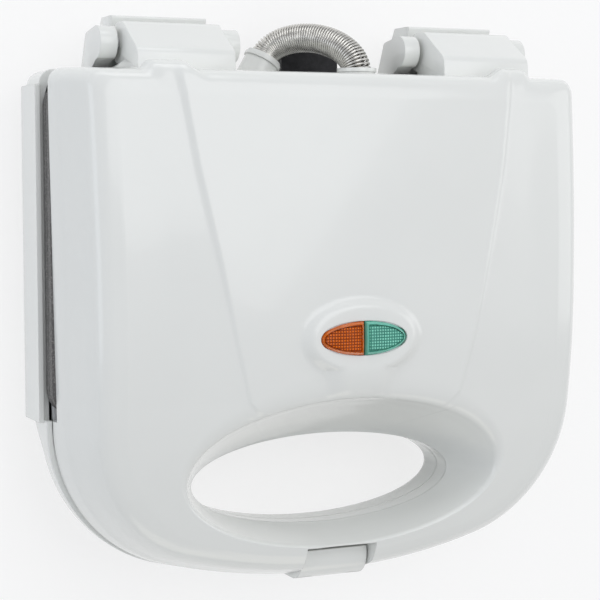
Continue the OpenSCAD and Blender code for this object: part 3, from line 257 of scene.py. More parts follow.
# ---------- materials ----------
def material(
    name, color, rough=0.4, metal=0.0, spread=0.03, size=8.0, bump=0.05, bump_size=1.0, fleck=None,
    fleck_size=0.6, fleck_share=0.25, coat=0.0, transmission=0.0, ior=1.47, edge=0.35, rough_spread=0.06,
    stretch=(1, 1, 1), tint=None, specular=0.5, painted_groove_shade=None
):
    """A procedural material. Sizes are in millimetres; fleck is a second colour in fine grains.

    The third colour is painted shade in the grooves between the small pyramids of the lamp lens."""
    mat = bpy.data.materials.new(name)
    mat.use_nodes = True
    tree = mat.node_tree
    nodes, links = tree.nodes, tree.links
    nodes.clear()
    out = nodes.new("ShaderNodeOutputMaterial")
    shader = nodes.new("ShaderNodeBsdfPrincipled")
    links.new(shader.outputs["BSDF"], out.inputs["Surface"])
    coord = nodes.new("ShaderNodeTexCoord")
    scale = nodes.new("ShaderNodeMapping")
    scale.inputs["Scale"].default_value = stretch
    links.new(coord.outputs["Object"], scale.inputs["Vector"])

    def noise(mm, detail=3.0, rough_=0.5):
        n = nodes.new("ShaderNodeTexNoise")
        n.inputs["Scale"].default_value = 1000.0 / mm
        n.inputs["Detail"].default_value = detail
        n.inputs["Roughness"].default_value = rough_
        links.new(scale.outputs["Vector"], n.inputs["Vector"])
        return n.outputs["Fac"]

    low = [c * (1 - spread) for c in color]
    high = [min(1.0, c * (1 + spread)) for c in color]
    if tint:
        high = [min(1.0, a * b) for a, b in zip(high, tint)]
    ramp = nodes.new("ShaderNodeValToRGB")
    ramp.color_ramp.elements[0].position, ramp.color_ramp.elements[1].position = 0.35, 0.65
    ramp.color_ramp.elements[0].color = low + [1]
    ramp.color_ramp.elements[1].color = high + [1]
    links.new(noise(size), ramp.inputs["Fac"])
    colour = ramp.outputs["Color"]
    if fleck:
        grain = nodes.new("ShaderNodeTexVoronoi")
        grain.inputs["Scale"].default_value = 1000.0 / fleck_size
        links.new(scale.outputs["Vector"], grain.inputs["Vector"])
        pick = nodes.new("ShaderNodeSeparateColor")
        links.new(grain.outputs["Color"], pick.inputs["Color"])
        gate = nodes.new("ShaderNodeMapRange")
        gate.inputs["From Min"].default_value = 1 - fleck_share
        gate.inputs["From Max"].default_value = 1.0
        links.new(pick.outputs["Red"], gate.inputs["Value"])
        mix = nodes.new("ShaderNodeMix")
        mix.data_type = "RGBA"
        links.new(gate.outputs["Result"], mix.inputs["Factor"])
        links.new(colour, mix.inputs["A"])
        mix.inputs["B"].default_value = list(fleck) + [1]
        colour = mix.outputs["Result"]
    # Painted shade: the grooves between the lens's pyramids are darkened towards the third colour.
    if painted_groove_shade:
        place = nodes.new("ShaderNodeSeparateXYZ")
        links.new(coord.outputs["Object"], place.inputs["Vector"])

        def math_node(operation, first, second):
            n = nodes.new("ShaderNodeMath")
            n.operation = operation
            for socket, value in zip(n.inputs, (first, second)):
                if isinstance(value, float):
                    socket.default_value = value
                else:
                    links.new(value, socket)
            return n.outputs["Value"]

        across = math_node("SUBTRACT", math_node("ABSOLUTE", place.outputs["X"], 0.0), LENS_DIVIDE * MM)
        along = math_node("ADD", place.outputs["Y"], -LENS_Y * MM)
        half_cell = LENS_PITCH * MM / 2
        near = math_node(
            "MINIMUM", math_node("PINGPONG", across, half_cell), math_node("PINGPONG", along, half_cell)
        )
        groove = nodes.new("ShaderNodeMapRange")
        groove.inputs["From Min"].default_value = 0.14 * half_cell
        groove.inputs["From Max"].default_value = 0.6 * half_cell
        groove.inputs["To Min"].default_value, groove.inputs["To Max"].default_value = 1.0, 0.0
        links.new(near, groove.inputs["Value"])
        mix = nodes.new("ShaderNodeMix")
        mix.data_type = "RGBA"
        links.new(groove.outputs["Result"], mix.inputs["Factor"])
        links.new(colour, mix.inputs["A"])
        mix.inputs["B"].default_value = list(painted_groove_shade) + [1]
        colour = mix.outputs["Result"]
    links.new(colour, shader.inputs["Base Color"])
    vary = nodes.new("ShaderNodeMapRange")
    vary.inputs["To Min"].default_value = max(0.02, rough - rough_spread)
    vary.inputs["To Max"].default_value = min(1.0, rough + rough_spread)
    links.new(noise(size * 0.6, 4.0), vary.inputs["Value"])
    links.new(vary.outputs["Result"], shader.inputs["Roughness"])
    relief = nodes.new("ShaderNodeBump")
    relief.inputs["Strength"].default_value = bump
    relief.inputs["Distance"].default_value = 0.0004
    links.new(noise(bump_size, 3.0), relief.inputs["Height"])
    if edge:
        bevel = nodes.new("ShaderNodeBevel")
        bevel.samples = 4
        bevel.inputs["Radius"].default_value = edge * MM
        links.new(bevel.outputs["Normal"], relief.inputs["Normal"])
    links.new(relief.outputs["Normal"], shader.inputs["Normal"])
    shader.inputs["Metallic"].default_value = metal
    shader.inputs["IOR"].default_value = ior
    shader.inputs["Specular IOR Level"].default_value = specular
    shader.inputs["Coat Weight"].default_value = coat
    shader.inputs["Coat Roughness"].default_value = 0.05
    shader.inputs["Transmission Weight"].default_value = transmission
    return mat


WHITE = material(
    "white_casing", (0.805, 0.815, 0.79), rough=0.2, spread=0.006, size=30, bump=0.02, bump_size=3.0,
    edge=0.5, rough_spread=0.03, coat=0.25
)
INNER = material(
    "white_inner", (0.78, 0.79, 0.79), rough=0.38, spread=0.01, size=20, bump=0.06, bump_size=0.5
)
COATED = material(
    "coated_plate", (0.115, 0.112, 0.11), rough=0.42, spread=0.12, size=5, bump=0.35, bump_size=0.35,
    fleck=(0.3, 0.29, 0.28), fleck_size=0.4, fleck_share=0.3, edge=0.6, metal=0.25
)
STEEL = material(
    "conduit_steel", (0.62, 0.61, 0.58), rough=0.24, metal=1.0, spread=0.12, size=2.5, bump=0.08,
    bump_size=0.3, edge=0
)
PIN = material(
    "pin_steel", (0.55, 0.55, 0.56), rough=0.3, metal=1.0, spread=0.08, size=3, bump=0.15,
    bump_size=0.3, stretch=(0.1, 1, 1)
)
ZINC = material(
    "zinc_steel", (0.66, 0.67, 0.69), rough=0.34, metal=1.0, spread=0.14, size=1.5, bump=0.12,
    bump_size=0.5, tint=(1.0, 0.99, 0.94)
)
SHEET = material(
    "aluminium_sheet", (0.78, 0.78, 0.77), rough=0.3, metal=1.0, spread=0.08, size=9, bump=0.18,
    bump_size=0.7, stretch=(0.04, 1, 1)
)
SHEATH = material(
    "element_sheath", (0.30, 0.26, 0.22), rough=0.42, metal=1.0, spread=0.35, size=9, bump=0.1,
    bump_size=0.6, tint=(0.8, 0.9, 1.2)
)
CERAMIC = material(
    "ceramic", (0.78, 0.74, 0.66), rough=0.6, spread=0.06, size=3, bump=0.3, bump_size=0.4
)
BLACK = material(
    "black_plastic", (0.016, 0.016, 0.018), rough=0.5, spread=0.3, size=2.5, bump=0.3, bump_size=0.35,
    specular=0.3
)
RUBBER = material(
    "foot_rubber", (0.035, 0.034, 0.033), rough=0.72, spread=0.25, size=2, bump=0.35, bump_size=0.3
)
SLEEVE = material(
    "lead_sleeving", (0.74, 0.70, 0.62), rough=0.8, spread=0.14, size=0.8, bump=0.6, bump_size=0.35
)
CLEAR = material(
    "clear_plastic", (0.86, 0.88, 0.88), rough=0.12, spread=0.02, size=6, bump=0.03, bump_size=1.5,
    transmission=0.3, ior=1.49
)
AMBER = material(
    "amber_plastic", (0.62, 0.13, 0.006), rough=0.12, spread=0.1, size=3, bump=0.02, bump_size=0.8,
    transmission=0.1, ior=1.5, edge=0, specular=0.35
)
GREEN = material(
    "green_plastic", (0.13, 0.50, 0.38), rough=0.12, spread=0.1, size=3, bump=0.02, bump_size=0.8,
    transmission=0.1, ior=1.5, edge=0, specular=0.35
)
# Lighter copies of the lens plastics for the field of pyramids: painted light, with painted shade in the
# grooves.
AMBER_FIELD_PAINTED_LIGHT = material(
    "amber_field_painted_light", (0.80, 0.165, 0.006), rough=0.14, spread=0.08, size=3, bump=0.02, bump_size=0.8,
    ior=1.5, edge=0, specular=0.3, painted_groove_shade=(0.24, 0.035, 0.002)
)
GREEN_FIELD_PAINTED_LIGHT = material(
    "green_field_painted_light", (0.30, 0.76, 0.60), rough=0.14, spread=0.08, size=3, bump=0.02, bump_size=0.8,
    ior=1.5, edge=0, specular=0.3, painted_groove_shade=(0.035, 0.22, 0.17)
)
GLASS = material(
    "lamp_glass", (0.9, 0.8, 0.7), rough=0.06, spread=0.04, size=4, bump=0.02, bump_size=2,
    transmission=0.8, ior=1.5, edge=0
)
NODE_MATERIAL = {
    "white_plastic": INNER, "coated_plate": COATED, "element_sheath": SHEATH, "zinc_steel": ZINC,
    "aluminium_sheet": SHEET, "ceramic": CERAMIC, "black_plastic": BLACK, "lead_sleeving": SLEEVE,
    "foot_rubber": RUBBER, "pin_steel": PIN, "conduit_steel": STEEL, "clear_plastic": CLEAR,
    "amber_plastic": AMBER, "green_plastic": GREEN, "lamp_glass": GLASS
}
SLOT_OF = {s["node"]: s["material_slot"] for s in frame["record"]["subparts"]}
for node, obj in frame["nodes"].items():
    obj.data.materials.clear()
    obj.data.materials.append(NODE_MATERIAL[SLOT_OF[node]])
for node in ("latch_clip", "base_ferrule", "lid_ferrule"):
    frame["nodes"][node].data.materials[0] = WHITE


def dress(obj, mat, body, nodes=()):
    obj.data.materials.clear()
    obj.data.materials.append(mat)
    if body:
        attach(obj, body)
    if nodes:
        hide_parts(*nodes)
    return obj


# ---------- plan outline ----------
def level(q, z):
    """Points in plan, raised to the height z (a number or one for each point)."""
    return np.column_stack([q, np.broadcast_to(z, len(q))])


def arc_points(cx, cy, r, a0, a1, n):
    a = np.radians(np.linspace(a0, a1, n))
    return np.stack([cx + r * np.cos(a), cy + r * np.sin(a)], 1)


def plan_outline(count):
    """Evenly spaced points round the casing in plan, from the middle of the front, turning right."""
    join = math.degrees(math.atan2(CORNER_Y - ARC_Y, CORNER_X))
    pts = np.concatenate([
        arc_points(0, ARC_Y, ARC_R, -90, join, 60),
        arc_points(CORNER_X, CORNER_Y, CORNER_R, join, 0, 120)[1:],
        np.stack([np.full(60, HALF_W), np.linspace(CORNER_Y, REAR_Y - REAR_R, 60)], 1)[1:],
        arc_points(HALF_W - REAR_R, REAR_Y - REAR_R, REAR_R, 0, 90, 30)[1:],
        np.stack([np.linspace(HALF_W - REAR_R, 0, 120), np.full(120, REAR_Y)], 1)[1:]
    ])
    run = np.concatenate([[0], np.cumsum(np.linalg.norm(np.diff(pts, axis=0), axis=1))])
    t = np.linspace(0, run[-1], count // 2 + 1)
    half = np.stack([np.interp(t, run, pts[:, 0]), np.interp(t, run, pts[:, 1])], 1)
    half[0, 0] = half[-1, 0] = 0
    return np.concatenate([half, half[-2:0:-1] * [-1, 1]])


def drawn_in(p, dx, df, dr):
    y = p[:, 1]
    return np.stack([
        p[:, 0] * (HALF_W - dx) / HALF_W,
        np.where(y < 0, y * (1 + df / FRONT_Y), y * (1 - dr / REAR_Y))
    ], 1)


def lid_place(p):
    """The plan outline as the lid has it, narrower towards the handle."""
    t = np.minimum(1.0, (REAR_Y - p[:, 1]) / (REAR_Y - CORNER_Y))
    return np.stack([p[:, 0] * (1 - LID_TAPER / HALF_W * t), p[:, 1]], 1)


def ray(p):
    v = p - [0, HOLE_Y]
    return v / np.linalg.norm(v, axis=1)[:, None]


def hole_point(p, g=0.0):
    v = ray(p)
    return [0, HOLE_Y] + v / np.hypot(v[:, 0] / (HOLE_A + g), v[:, 1] / (HOLE_B + g))[:, None]


def funnel_point(p, g=0.0):
    v = ray(p)
    ra, rb, m = FUNNEL_A + g, FUNNEL_B + g, HOLE_Y - FUNNEL_Y
    qa = (v[:, 0] / ra) ** 2 + (v[:, 1] / rb) ** 2
    qb = 2 * m * v[:, 1] / rb ** 2
    qc = m * m / rb ** 2 - 1
    return [0, HOLE_Y] + v * ((-qb + np.sqrt(qb * qb - 4 * qa * qc)) / (2 * qa))[:, None]


def ear(x):
    return np.minimum(smooth((92 - np.abs(x)) / 5), smooth((np.abs(x) - 68) / 8))


CREASE_Y = [-60.0, -35.8, -13.1, 20.9, 54.5, 89.5]
CREASE_X = [42.0, 45.6, 51.3, 58.5, 65.6, 71.0]


def crown(q):
    """The lid's crown: a gently domed middle panel, then straight slopes from the creases outwards."""
    x, y = np.abs(q[:, 0]), q[:, 1]
    edge = np.interp(y, CREASE_Y, CREASE_X)
    outer = 98.0
    at_edge = 0.62 * FALL_SIDE * (edge / HALF_W) ** 2
    at_outer = FALL_SIDE * (outer / HALF_W) ** 2
    beyond = at_edge + (at_outer - at_edge) * (x - edge) / (outer - edge)
    crease = np.where(x < edge, 0.62 * FALL_SIDE * (x / HALF_W) ** 2, beyond)
    blend = smooth((y + 66) / 30)
    side = FALL_SIDE * (x / HALF_W) ** 2
    return CROWN_H - side - (crease - side) * blend - np.where(
        y < 0, FALL_FRONT * (y / FRONT_Y) ** 2, FALL_REAR * (y / REAR_Y) ** 2)


def top_height(q):
    """The crown with the small step at its creases and the lens mound with its flat top."""
    x, y = q[:, 0], q[:, 1]
    edge = np.interp(y, CREASE_Y, CREASE_X)
    step = np.interp(y, [-54, -36, 90], [0.0, 0.45, 1.0])
    width = np.interp(y, [-54, -36, 90], [1.6, 1.6, 3.0])
    z = crown(q) - step * smooth((np.abs(x) - edge) / width) * smooth((108 - np.abs(x)) / 30)
    r = np.hypot(x / 26.0, (y - LENS_Y) / 15.5)
    return z + (MOUND_TOP - z) * smooth((1.05 - r) / 0.25)


# ---------- lid casing ----------
def lid_casing():
    plan = plan_outline(640)
    base = lid_place(plan)
    share = [0, 0.02, 0.2, 0.34, 0.37, 0.41, 0.89, 0.935, 0.965, 0.985, 1.0]
    side = [0.35, 0.0, 0.85, 1.75, 2.0, 2.5, 8.0, 9.2, 11.0, 13.6, 19.0]
    front = [0.35, 0.0, 0.45, 1.0, 1.2, 1.55, 5.6, 6.6, 7.8, 9.2, 12.0]
    rear = [0.3, 0.0, 0.1, 0.3, 0.35, 0.4, 1.7, 2.6, 4.0, 6.0, 11.0]
    ears = [0, 0, 0.35, 0.9, 1, 1, 1, 0.95, 0.8, 0.5, 0]
    rows = []
    steps = np.concatenate([
        [0, 0.006, 0.012, 0.02], np.linspace(0.02, 0.32, 8)[1:], np.linspace(0.32, 0.43, 9)[1:],
        np.linspace(0.43, 0.86, 10)[1:], np.linspace(0.86, 0.97, 12)[1:], np.linspace(0.97, 1.0, 9)[1:]
    ])
    for s in steps:
        dx, df, dr = spline(s, share, side), spline(s, share, front), spline(s, share, rear)
        q = drawn_in(base, dx, df, dr)
        rear_part = plan[:, 1] >= REAR_Y - 0.01
        q[:, 1] += np.where(rear_part, 3.5 * ear(plan[:, 0]) * spline(s, share, ears), 0)
        rows.append(level(q, LID_RIM + (top_height(q) - LID_RIM) * s))
    last = rows[-1][:, :2]
    f = funnel_point(plan)
    lip = LID_RIM + HOLE_LIP
    # The top, from the outline to the rounded edge of the funnel
    edge_r = 0.09
    for u in np.linspace(0, 1 - edge_r, 96)[1:]:
        q = last + (f - last) * u
        rows.append(level(q, top_height(q)))
    # The funnel: a rounded edge over its first part, then a slope to the lip
    e = hole_point(plan)
    start = last + (f - last) * (1 - edge_r)
    top = top_height(start)
    f_top = top_height(f)
    go = [0.0, 0.12, 0.3, 0.6, 0.85, 0.95, 1.0]
    fall = [0.035, 0.12, 0.33, 0.66, 0.89, 0.97, 1.0]
    round_part, round_reach = 0.22, 0.14
    for u in np.linspace(0, 1, 44)[1:]:
        if u < round_part:
            t = u / round_part
            a = start + (f - start) * t
            b = f + (e - f) * round_reach * t
            q = a + (b - a) * smooth(np.array(t))
            down = f_top + (lip - f_top) * spline(round_reach * t, go, fall)
            z = top + (down - top) * (t ** 1.6)
        else:
            t = round_reach + (1 - round_reach) * (u - round_part) / (1 - round_part)
            q = f + (e - f) * t
            z = f_top + (lip - f_top) * spline(t, go, fall)
        rows.append(level(q, z))
    # The hole's upright wall, with a fine groove under the lip
    wall_rows = (
        (0.0, lip - 0.3), (LIP_GROOVE, lip - 0.35), (LIP_GROOVE, lip - 0.8), (0.0, lip - 0.85),
        (0.0, LID_RIM + 3), (0.0, LID_RIM + 0.3), (0.3, LID_RIM)
    )
    for g, z in wall_rows:
        rows.append(level(hole_point(plan, g), z))
    return make("lid_casing", np.concatenate(rows), grid_faces(len(rows), len(base), close_rows=True))


def stacked(rings):
    """A closed cutter from rings of equal length, given from the bottom up."""
    n, top = len(rings[0]), (len(rings) - 1) * len(rings[0])
    faces = grid_faces(len(rings), n) + [list(range(n))[::-1], list(range(top, top + n))]
    return make("cutter", np.concatenate(rings), faces)


def cavity_plan():
    plan = plan_outline(150)
    return (plan + np.roll(plan, -1, axis=0)) / 2


def lid_cavity(low):
    plan = cavity_plan()
    base = lid_place(plan)
    rings = [level(drawn_in(base, WALL, WALL, WALL), low)]
    table = [
        (0.16, 0.7, 0.5, 0), (0.42, 2.6, 1.6, 0.4), (0.7, 5.8, 3.8, 1.0), (0.86, 7.8, 5.4, 1.7),
        (0.95, 10.4, 7.2, 3.4), (1, 19, 12, 11)
    ]
    for s, dx, df, dr in table:
        q = drawn_in(base, dx + WALL, df + WALL, dr + WALL)
        rings.append(level(q, LID_RIM + (top_height(q) - WALL - LID_RIM) * s))
    last = rings[-1][:, :2]
    for u in np.linspace(0, 0.95, 13)[1:]:
        q = last + ([0, HOLE_Y] - last) * u
        rings.append(level(q, top_height(q) - WALL))
    rings[-1][:, 2] = rings[-1][:, 2].mean()
    f, e = funnel_point(plan, WALL), hole_point(plan, WALL)
    z = top_height(f) - WALL
    funnel = [level(e, low - 2)]
    for go, fall in ((1, 1), (0.85, 0.86), (0.6, 0.62), (0.3, 0.3), (0, 0.02)):
        funnel.append(level(f + (e - f) * go, z + (low + HOLE_LIP - z) * fall))
    funnel.append(level(f, 95.0))
    return boolean(stacked(rings), [stacked(funnel)])


def base_cavity(high):
    plan = cavity_plan()
    rows = [level(drawn_in(plan, WALL, WALL, WALL), high)]
    for up_, dx, df, dr in ((9, 0.2, 0.2, 0.2), (4.5, 1.6, 1, 1), (1.4, 5, 3, 2.6), (0, 11, 6.4, 6)):
        q = drawn_in(plan, dx + WALL, df + WALL, dr + WALL)
        rows.append(level(q, underside(q) + up_ + WALL))
    last = rows[-1][:, :2]
    foot = hole_point(plan, HOLE_ROUND)
    for u in (0.2, 0.4, 0.6, 0.8, 1):
        q = last + (foot - last) * u
        rows.append(level(q, underside(q) + WALL))
    for a in np.radians((30, 60, 90)):
        q = hole_point(plan, HOLE_ROUND - (HOLE_ROUND - WALL) * math.sin(a))
        rows.append(level(q, underside(foot) + HOLE_ROUND - (HOLE_ROUND - WALL) * math.cos(a)))
    rows.append(level(hole_point(plan, WALL), high))
    faces = grid_faces(len(rows), len(plan), close_rows=True, flip=True)
    return make("cutter", np.concatenate(rows), faces)


def underside(q):
    return BOTTOM_H + (HANDLE_H - BOTTOM_H) * smooth((SLOT_FRONT + 10 - q[:, 1]) / 26)


def rod(x, y, r, z0, z1):
    return prism(circle(x, y, r, 40), "z", z0, z1)


lid = lid_casing()
notch_wall = cuboid(-CLIP_NOTCH - WALL, CLIP_NOTCH + WALL, FRONT_Y - 5, CLIP_BACK + WALL, 30, 90)
liner = boolean(lid_cavity(LID_RIM - 1), [notch_wall])
cuts = [
    liner,
    cuboid(-125, 125, SLOT_FRONT, REAR_Y + 8, 30, SLOT_HI),
    cuboid(-CLIP_NOTCH, CLIP_NOTCH, FRONT_Y - 8, CLIP_BACK, 30, 90),
    prism(lens_shape(0.15), "z", 70, 95),
    prism(circle(COND_HIGH, COND_X + COND_R, 7.55), "y", REAR_Y - 8, REAR_Y + 8),
]
boolean(lid, cuts)
soften(lid, 30)
dress(lid, WHITE, "lid", ["lid_shell"])


# ---------- base casing ----------
def base_casing():
    base = plan_outline(480)
    up_ = [12, 9, 4.5, 1.4, 0]
    side, front, rear = [0, 0.2, 1.6, 5, 11], [0, 0.2, 1.0, 3, 6.4], [0, 0.2, 1.0, 2.6, 6]
    rows = []
    for z in (BASE_RIM, BASE_RIM - 0.12, BASE_RIM - 0.4, BASE_RIM - 1.0):
        d = max(0.0, 0.4 - (BASE_RIM - z)) * 0.8
        rows.append(level(drawn_in(base, d, d, d), z))
    for t in np.linspace(0, 1, 22):
        h = 12 * (1 - t) ** 1.5
        k = [-v for v in up_]
        q = drawn_in(base, *(spline(-h, k, w) for w in (side, front, rear)))
        rows.append(level(q, underside(q) + h))
    last = rows[-1][:, :2]
    e = hole_point(base, HOLE_ROUND)
    for u in np.linspace(0, 1, 40)[1:]:
        q = last + (e - last) * u
        rows.append(level(q, underside(q)))
    for a in np.radians(np.linspace(0, 90, 11)[1:]):
        q = hole_point(base, HOLE_ROUND * (1 - math.sin(a)))
        rows.append(level(q, underside(e) + HOLE_ROUND * (1 - math.cos(a))))
    low = underside(e) + HOLE_ROUND
    for t in (0.5, 0.97, 1.0):
        q = hole_point(base, 0.3 if t == 1.0 else 0)
        rows.append(level(q, low + (BASE_RIM - low) * t))
    faces = grid_faces(len(rows), len(base), close_rows=True, flip=True)
    return make("base_casing", np.concatenate(rows), faces)


base = base_casing()
hollow = base_cavity(BASE_RIM + 1)
boolean(hollow, [cuboid(-CATCH_NOTCH - WALL, CATCH_NOTCH + WALL, FRONT_Y - 3, -104, 23.8, 40)])
ledge = rounded([
    (SLOT_FRONT - 1, 13, 0.6), (REAR_Y - 6, 13, 1.5),
    (REAR_Y - 6, SLOT_LO - 0.01, 0.3), (SLOT_FRONT - 1, SLOT_LO - 0.01, 0.3)
], 1)
ledges = [prism(ledge, "x", *sorted((s * 113.9, s * 117.0))) for s in (-1, 1)]
cuts = [
    hollow,
    cuboid(-125, 125, SLOT_FRONT, REAR_Y + 5, SLOT_LO, 40),
    cuboid(-HALF_W, HALF_W, SLOT_FRONT, REAR_Y + 5, GROOVE_H, 41),
    cuboid(-CATCH_NOTCH, CATCH_NOTCH, FRONT_Y - 5, -111.2, 0, 40),
    cuboid(-CATCH_NOTCH, CATCH_NOTCH, FRONT_Y - 5, -103, 0, 23.8),
    cuboid(-3, 17, 86, 95, 8, 17.4),
]
for x, y in ((105.5, 83.5), (-105.5, 83.5), (88, -62.5), (-88, -62.5)):
    under = float(underside(np.array([[x, y]]))[0])
    cuts.append(rod(x, y, 3.1, 0, under + 2.5))
for x in (-85, 85):
    for y in (71, -20):
        cuts.append(rod(x, y, 7.5, 0, BOTTOM_H + 1.2))
bend = math.radians(150)
way = Vector((-math.sin(bend), math.cos(bend), 0))
end = Vector((COND_X + COND_R * math.cos(bend), COND_Y + COND_R * math.sin(bend), COND_LOW))
cuts.append(tube([end - 8 * way, end, end + 14 * way], 7.6, 40, "cutter"))
boolean(base, ledges, "UNION")
boolean(base, cuts)
soften(base, 30)
dress(base, WHITE, "base", ["base_shell"])


# ---------- hinges ----------
def span(side, low, high):
    """The range in x on one side of the middle, lower end first."""
    return sorted((side * low, side * high))


def hinge_arc(r, a0, a1, n):
    angles = np.radians(np.linspace(a0, a1, n))
    return [(HINGE_Y + r * math.cos(a), HINGE_H + r * math.sin(a), 0) for a in angles]


def housing(side, name):
    """The lid's housing round a hinge pin: a ramp down from the lid, round underneath."""
    under = hinge_arc(8, 180, 360, 25)
    profile = rounded(
        [(91.3, 43.2, 0.3)] + under + [(111, 48, 3.0), (99.4, 65.3, 4.5), (91.3, 66, 0.2)], 1
    )
    body = prism(profile, "x", *span(side, HOUSING_IN, HOUSING_OUT), name=name, sharp=25)
    round_edges(body, 1.2, 50)
    pin_hole = circle(HINGE_Y, HINGE_H, PIN_HOLE_R + 0.03)
    boolean(body, [prism(pin_hole, "x", *span(side, HOUSING_IN - LUG_GAP, HOUSING_OUT + LUG_GAP))])
    soften(body, 30)
    return dress(body, WHITE, "lid", ["lid_shell"])


def hinge_carrier(side, name):
    """The base's stand under a housing, with the lugs that hold the pin on either side of it."""
    stand = rounded([
        (REAR_Y - WALL, 13.5, 0.3), (STAND_Y - 4, 19, 1.5), (STAND_Y, 21.5, 1.2), (STAND_Y, 34.5, 0.8),
        (HINGE_Y + 3.5, TROUGH_H, 1.5), (REAR_Y - WALL, TROUGH_H, 0.2)
    ], 1)
    lug = rounded(hinge_arc(6.5, 0, 180, 31) + [
        (REAR_Y - WALL, TROUGH_H, 0.2), (REAR_Y - WALL, TROUGH_H - 11, 0.2),
        (HINGE_Y + 4.5, TROUGH_H - 3, 2.0)
    ], 1)
    body = prism(stand, "x", *span(side, HOUSING_IN, HOUSING_OUT), name=name)
    ends = ((LUG_IN, HOUSING_IN), (HOUSING_OUT, LUG_OUT))
    boolean(body, [prism(lug, "x", *span(side, *pair)) for pair in ends], "UNION")
    gaps = ((HOUSING_IN - LUG_GAP, HOUSING_IN + 0.1), (HOUSING_OUT - 0.1, HOUSING_OUT + LUG_GAP))
    boolean(body, [cuboid(*span(side, *pair), REAR_Y, 120, TROUGH_H + 0.01, 60) for pair in gaps])
    round_edges(body, 0.7, 35)
    pin_hole = circle(HINGE_Y, HINGE_H, PIN_HOLE_R)
    boolean(body, [prism(pin_hole, "x", *span(side, LUG_IN + 0.9, LUG_OUT - 2))])
    soften(body, 30)
    return dress(body, WHITE, "base", ["base_shell"])


for s, word in ((-1, "left"), (1, "right")):
    housing(s, f"hinge_housing_{word}")
    hinge_carrier(s, f"hinge_carrier_{word}")


# ---------- lamp lens ----------
def lens_half(side, name, mats, node):
    """Half of the lens: a bright bevelled rim, a narrow groove and a field of tiny pyramids."""
    xs = np.concatenate([
        [LENS_DIVIDE], np.linspace(0.25, 17.4, 118), np.linspace(17.4, LENS_END - 0.02, 22)[1:]
    ])
    vs = np.linspace(-1, 1, 97)
    half = lens_half_width(xs)
    x, v = np.meshgrid(xs, vs, indexing="ij")
    y = v * half[:, None]
    slope = np.gradient(half, xs)
    # How far each point is from the half's outline
    d = np.minimum((half[:, None] - np.abs(y)) / np.hypot(1, slope)[:, None], x - LENS_DIVIDE)
    d = np.maximum(np.minimum(d, LENS_END - x), 0.0)
    dome = LENS_TOP - (x ** 2 + 2.0 * y ** 2) / 290.0
    rim = dome - 1.5 * (1 - np.clip(d / LENS_RIM, 0, 1)) ** 1.8
    tri_x = np.abs(((x - LENS_DIVIDE) / LENS_PITCH) % 1 - 0.5) * 2
    tri_y = np.abs((y / LENS_PITCH) % 1 - 0.5) * 2
    waffle = dome - 0.15 - 0.5 * np.maximum(tri_x, tri_y)
    groove = dome - 1.3
    z = np.where(d < LENS_RIM, rim, np.where(d < LENS_GROOVE, groove, waffle))
    top = np.stack([side * x, y + LENS_Y, z], 2).reshape(-1, 3)
    rows, cols = x.shape
    faces = grid_faces(rows, cols, close_cols=False, flip=side < 0)
    loop = (
        [i * cols for i in range(rows)] + [(rows - 1) * cols + j for j in range(1, cols)]
        + [i * cols + cols - 1 for i in range(rows - 2, -1, -1)] + [j for j in range(cols - 2, 0, -1)]
    )
    skirt = top[loop].copy()
    skirt[:, 2] = LENS_FOOT
    n = len(loop)
    m = len(top)
    for i in range(n):
        a, b = loop[i], loop[(i + 1) % n]
        quad = [a, b, m + (i + 1) % n, m + i]
        faces.append(quad if side < 0 else quad[::-1])
    faces.append([m + i for i in range(n)][::-1 if side < 0 else 1])
    obj = make(name, np.concatenate([top, skirt]), faces, 20)
    dress(obj, mats[0], "lid", [node])
    # The field of pyramids takes the second material, a lighter copy of the lens plastic with painted
    # light and painted shade in its grooves.
    obj.data.materials.append(mats[1])
    nearest = np.minimum.reduce([d[:-1, :-1], d[1:, :-1], d[:-1, 1:], d[1:, 1:]])
    inner = nearest.ravel() >= LENS_GROOVE - 0.15
    index = np.zeros(len(obj.data.polygons), np.int32)
    index[:len(inner)] = inner
    obj.data.polygons.foreach_set("material_index", index)
    return obj


lens_half(-1, "amber_lens_cut", (AMBER, AMBER_FIELD_PAINTED_LIGHT), "amber_lens")
lens_half(1, "green_lens_cut", (GREEN, GREEN_FIELD_PAINTED_LIGHT), "green_lens")


# ---------- conduit of close-wound wire ----------
def conduit_path(count):
    lead, tail = 7.5, 3.0
    a = np.linspace(150, 0, count)
    r = np.radians(a)
    arc = np.stack([COND_X + COND_R * np.cos(r), COND_Y + COND_R * np.sin(r),
                    COND_LOW + (COND_HIGH - COND_LOW) * smooth((150 - a) / 150)], 1)
    t0 = np.linspace(lead, 0, count // 8, endpoint=False)[:, None]
    head = arc[0] + t0 * np.array([way.x, way.y, 0])
    t1 = np.linspace(0, tail, count // 14)[1:, None]
    foot = arc[-1] + t1 * np.array([0, -1.0, 0])
    return np.concatenate([head, arc, foot])


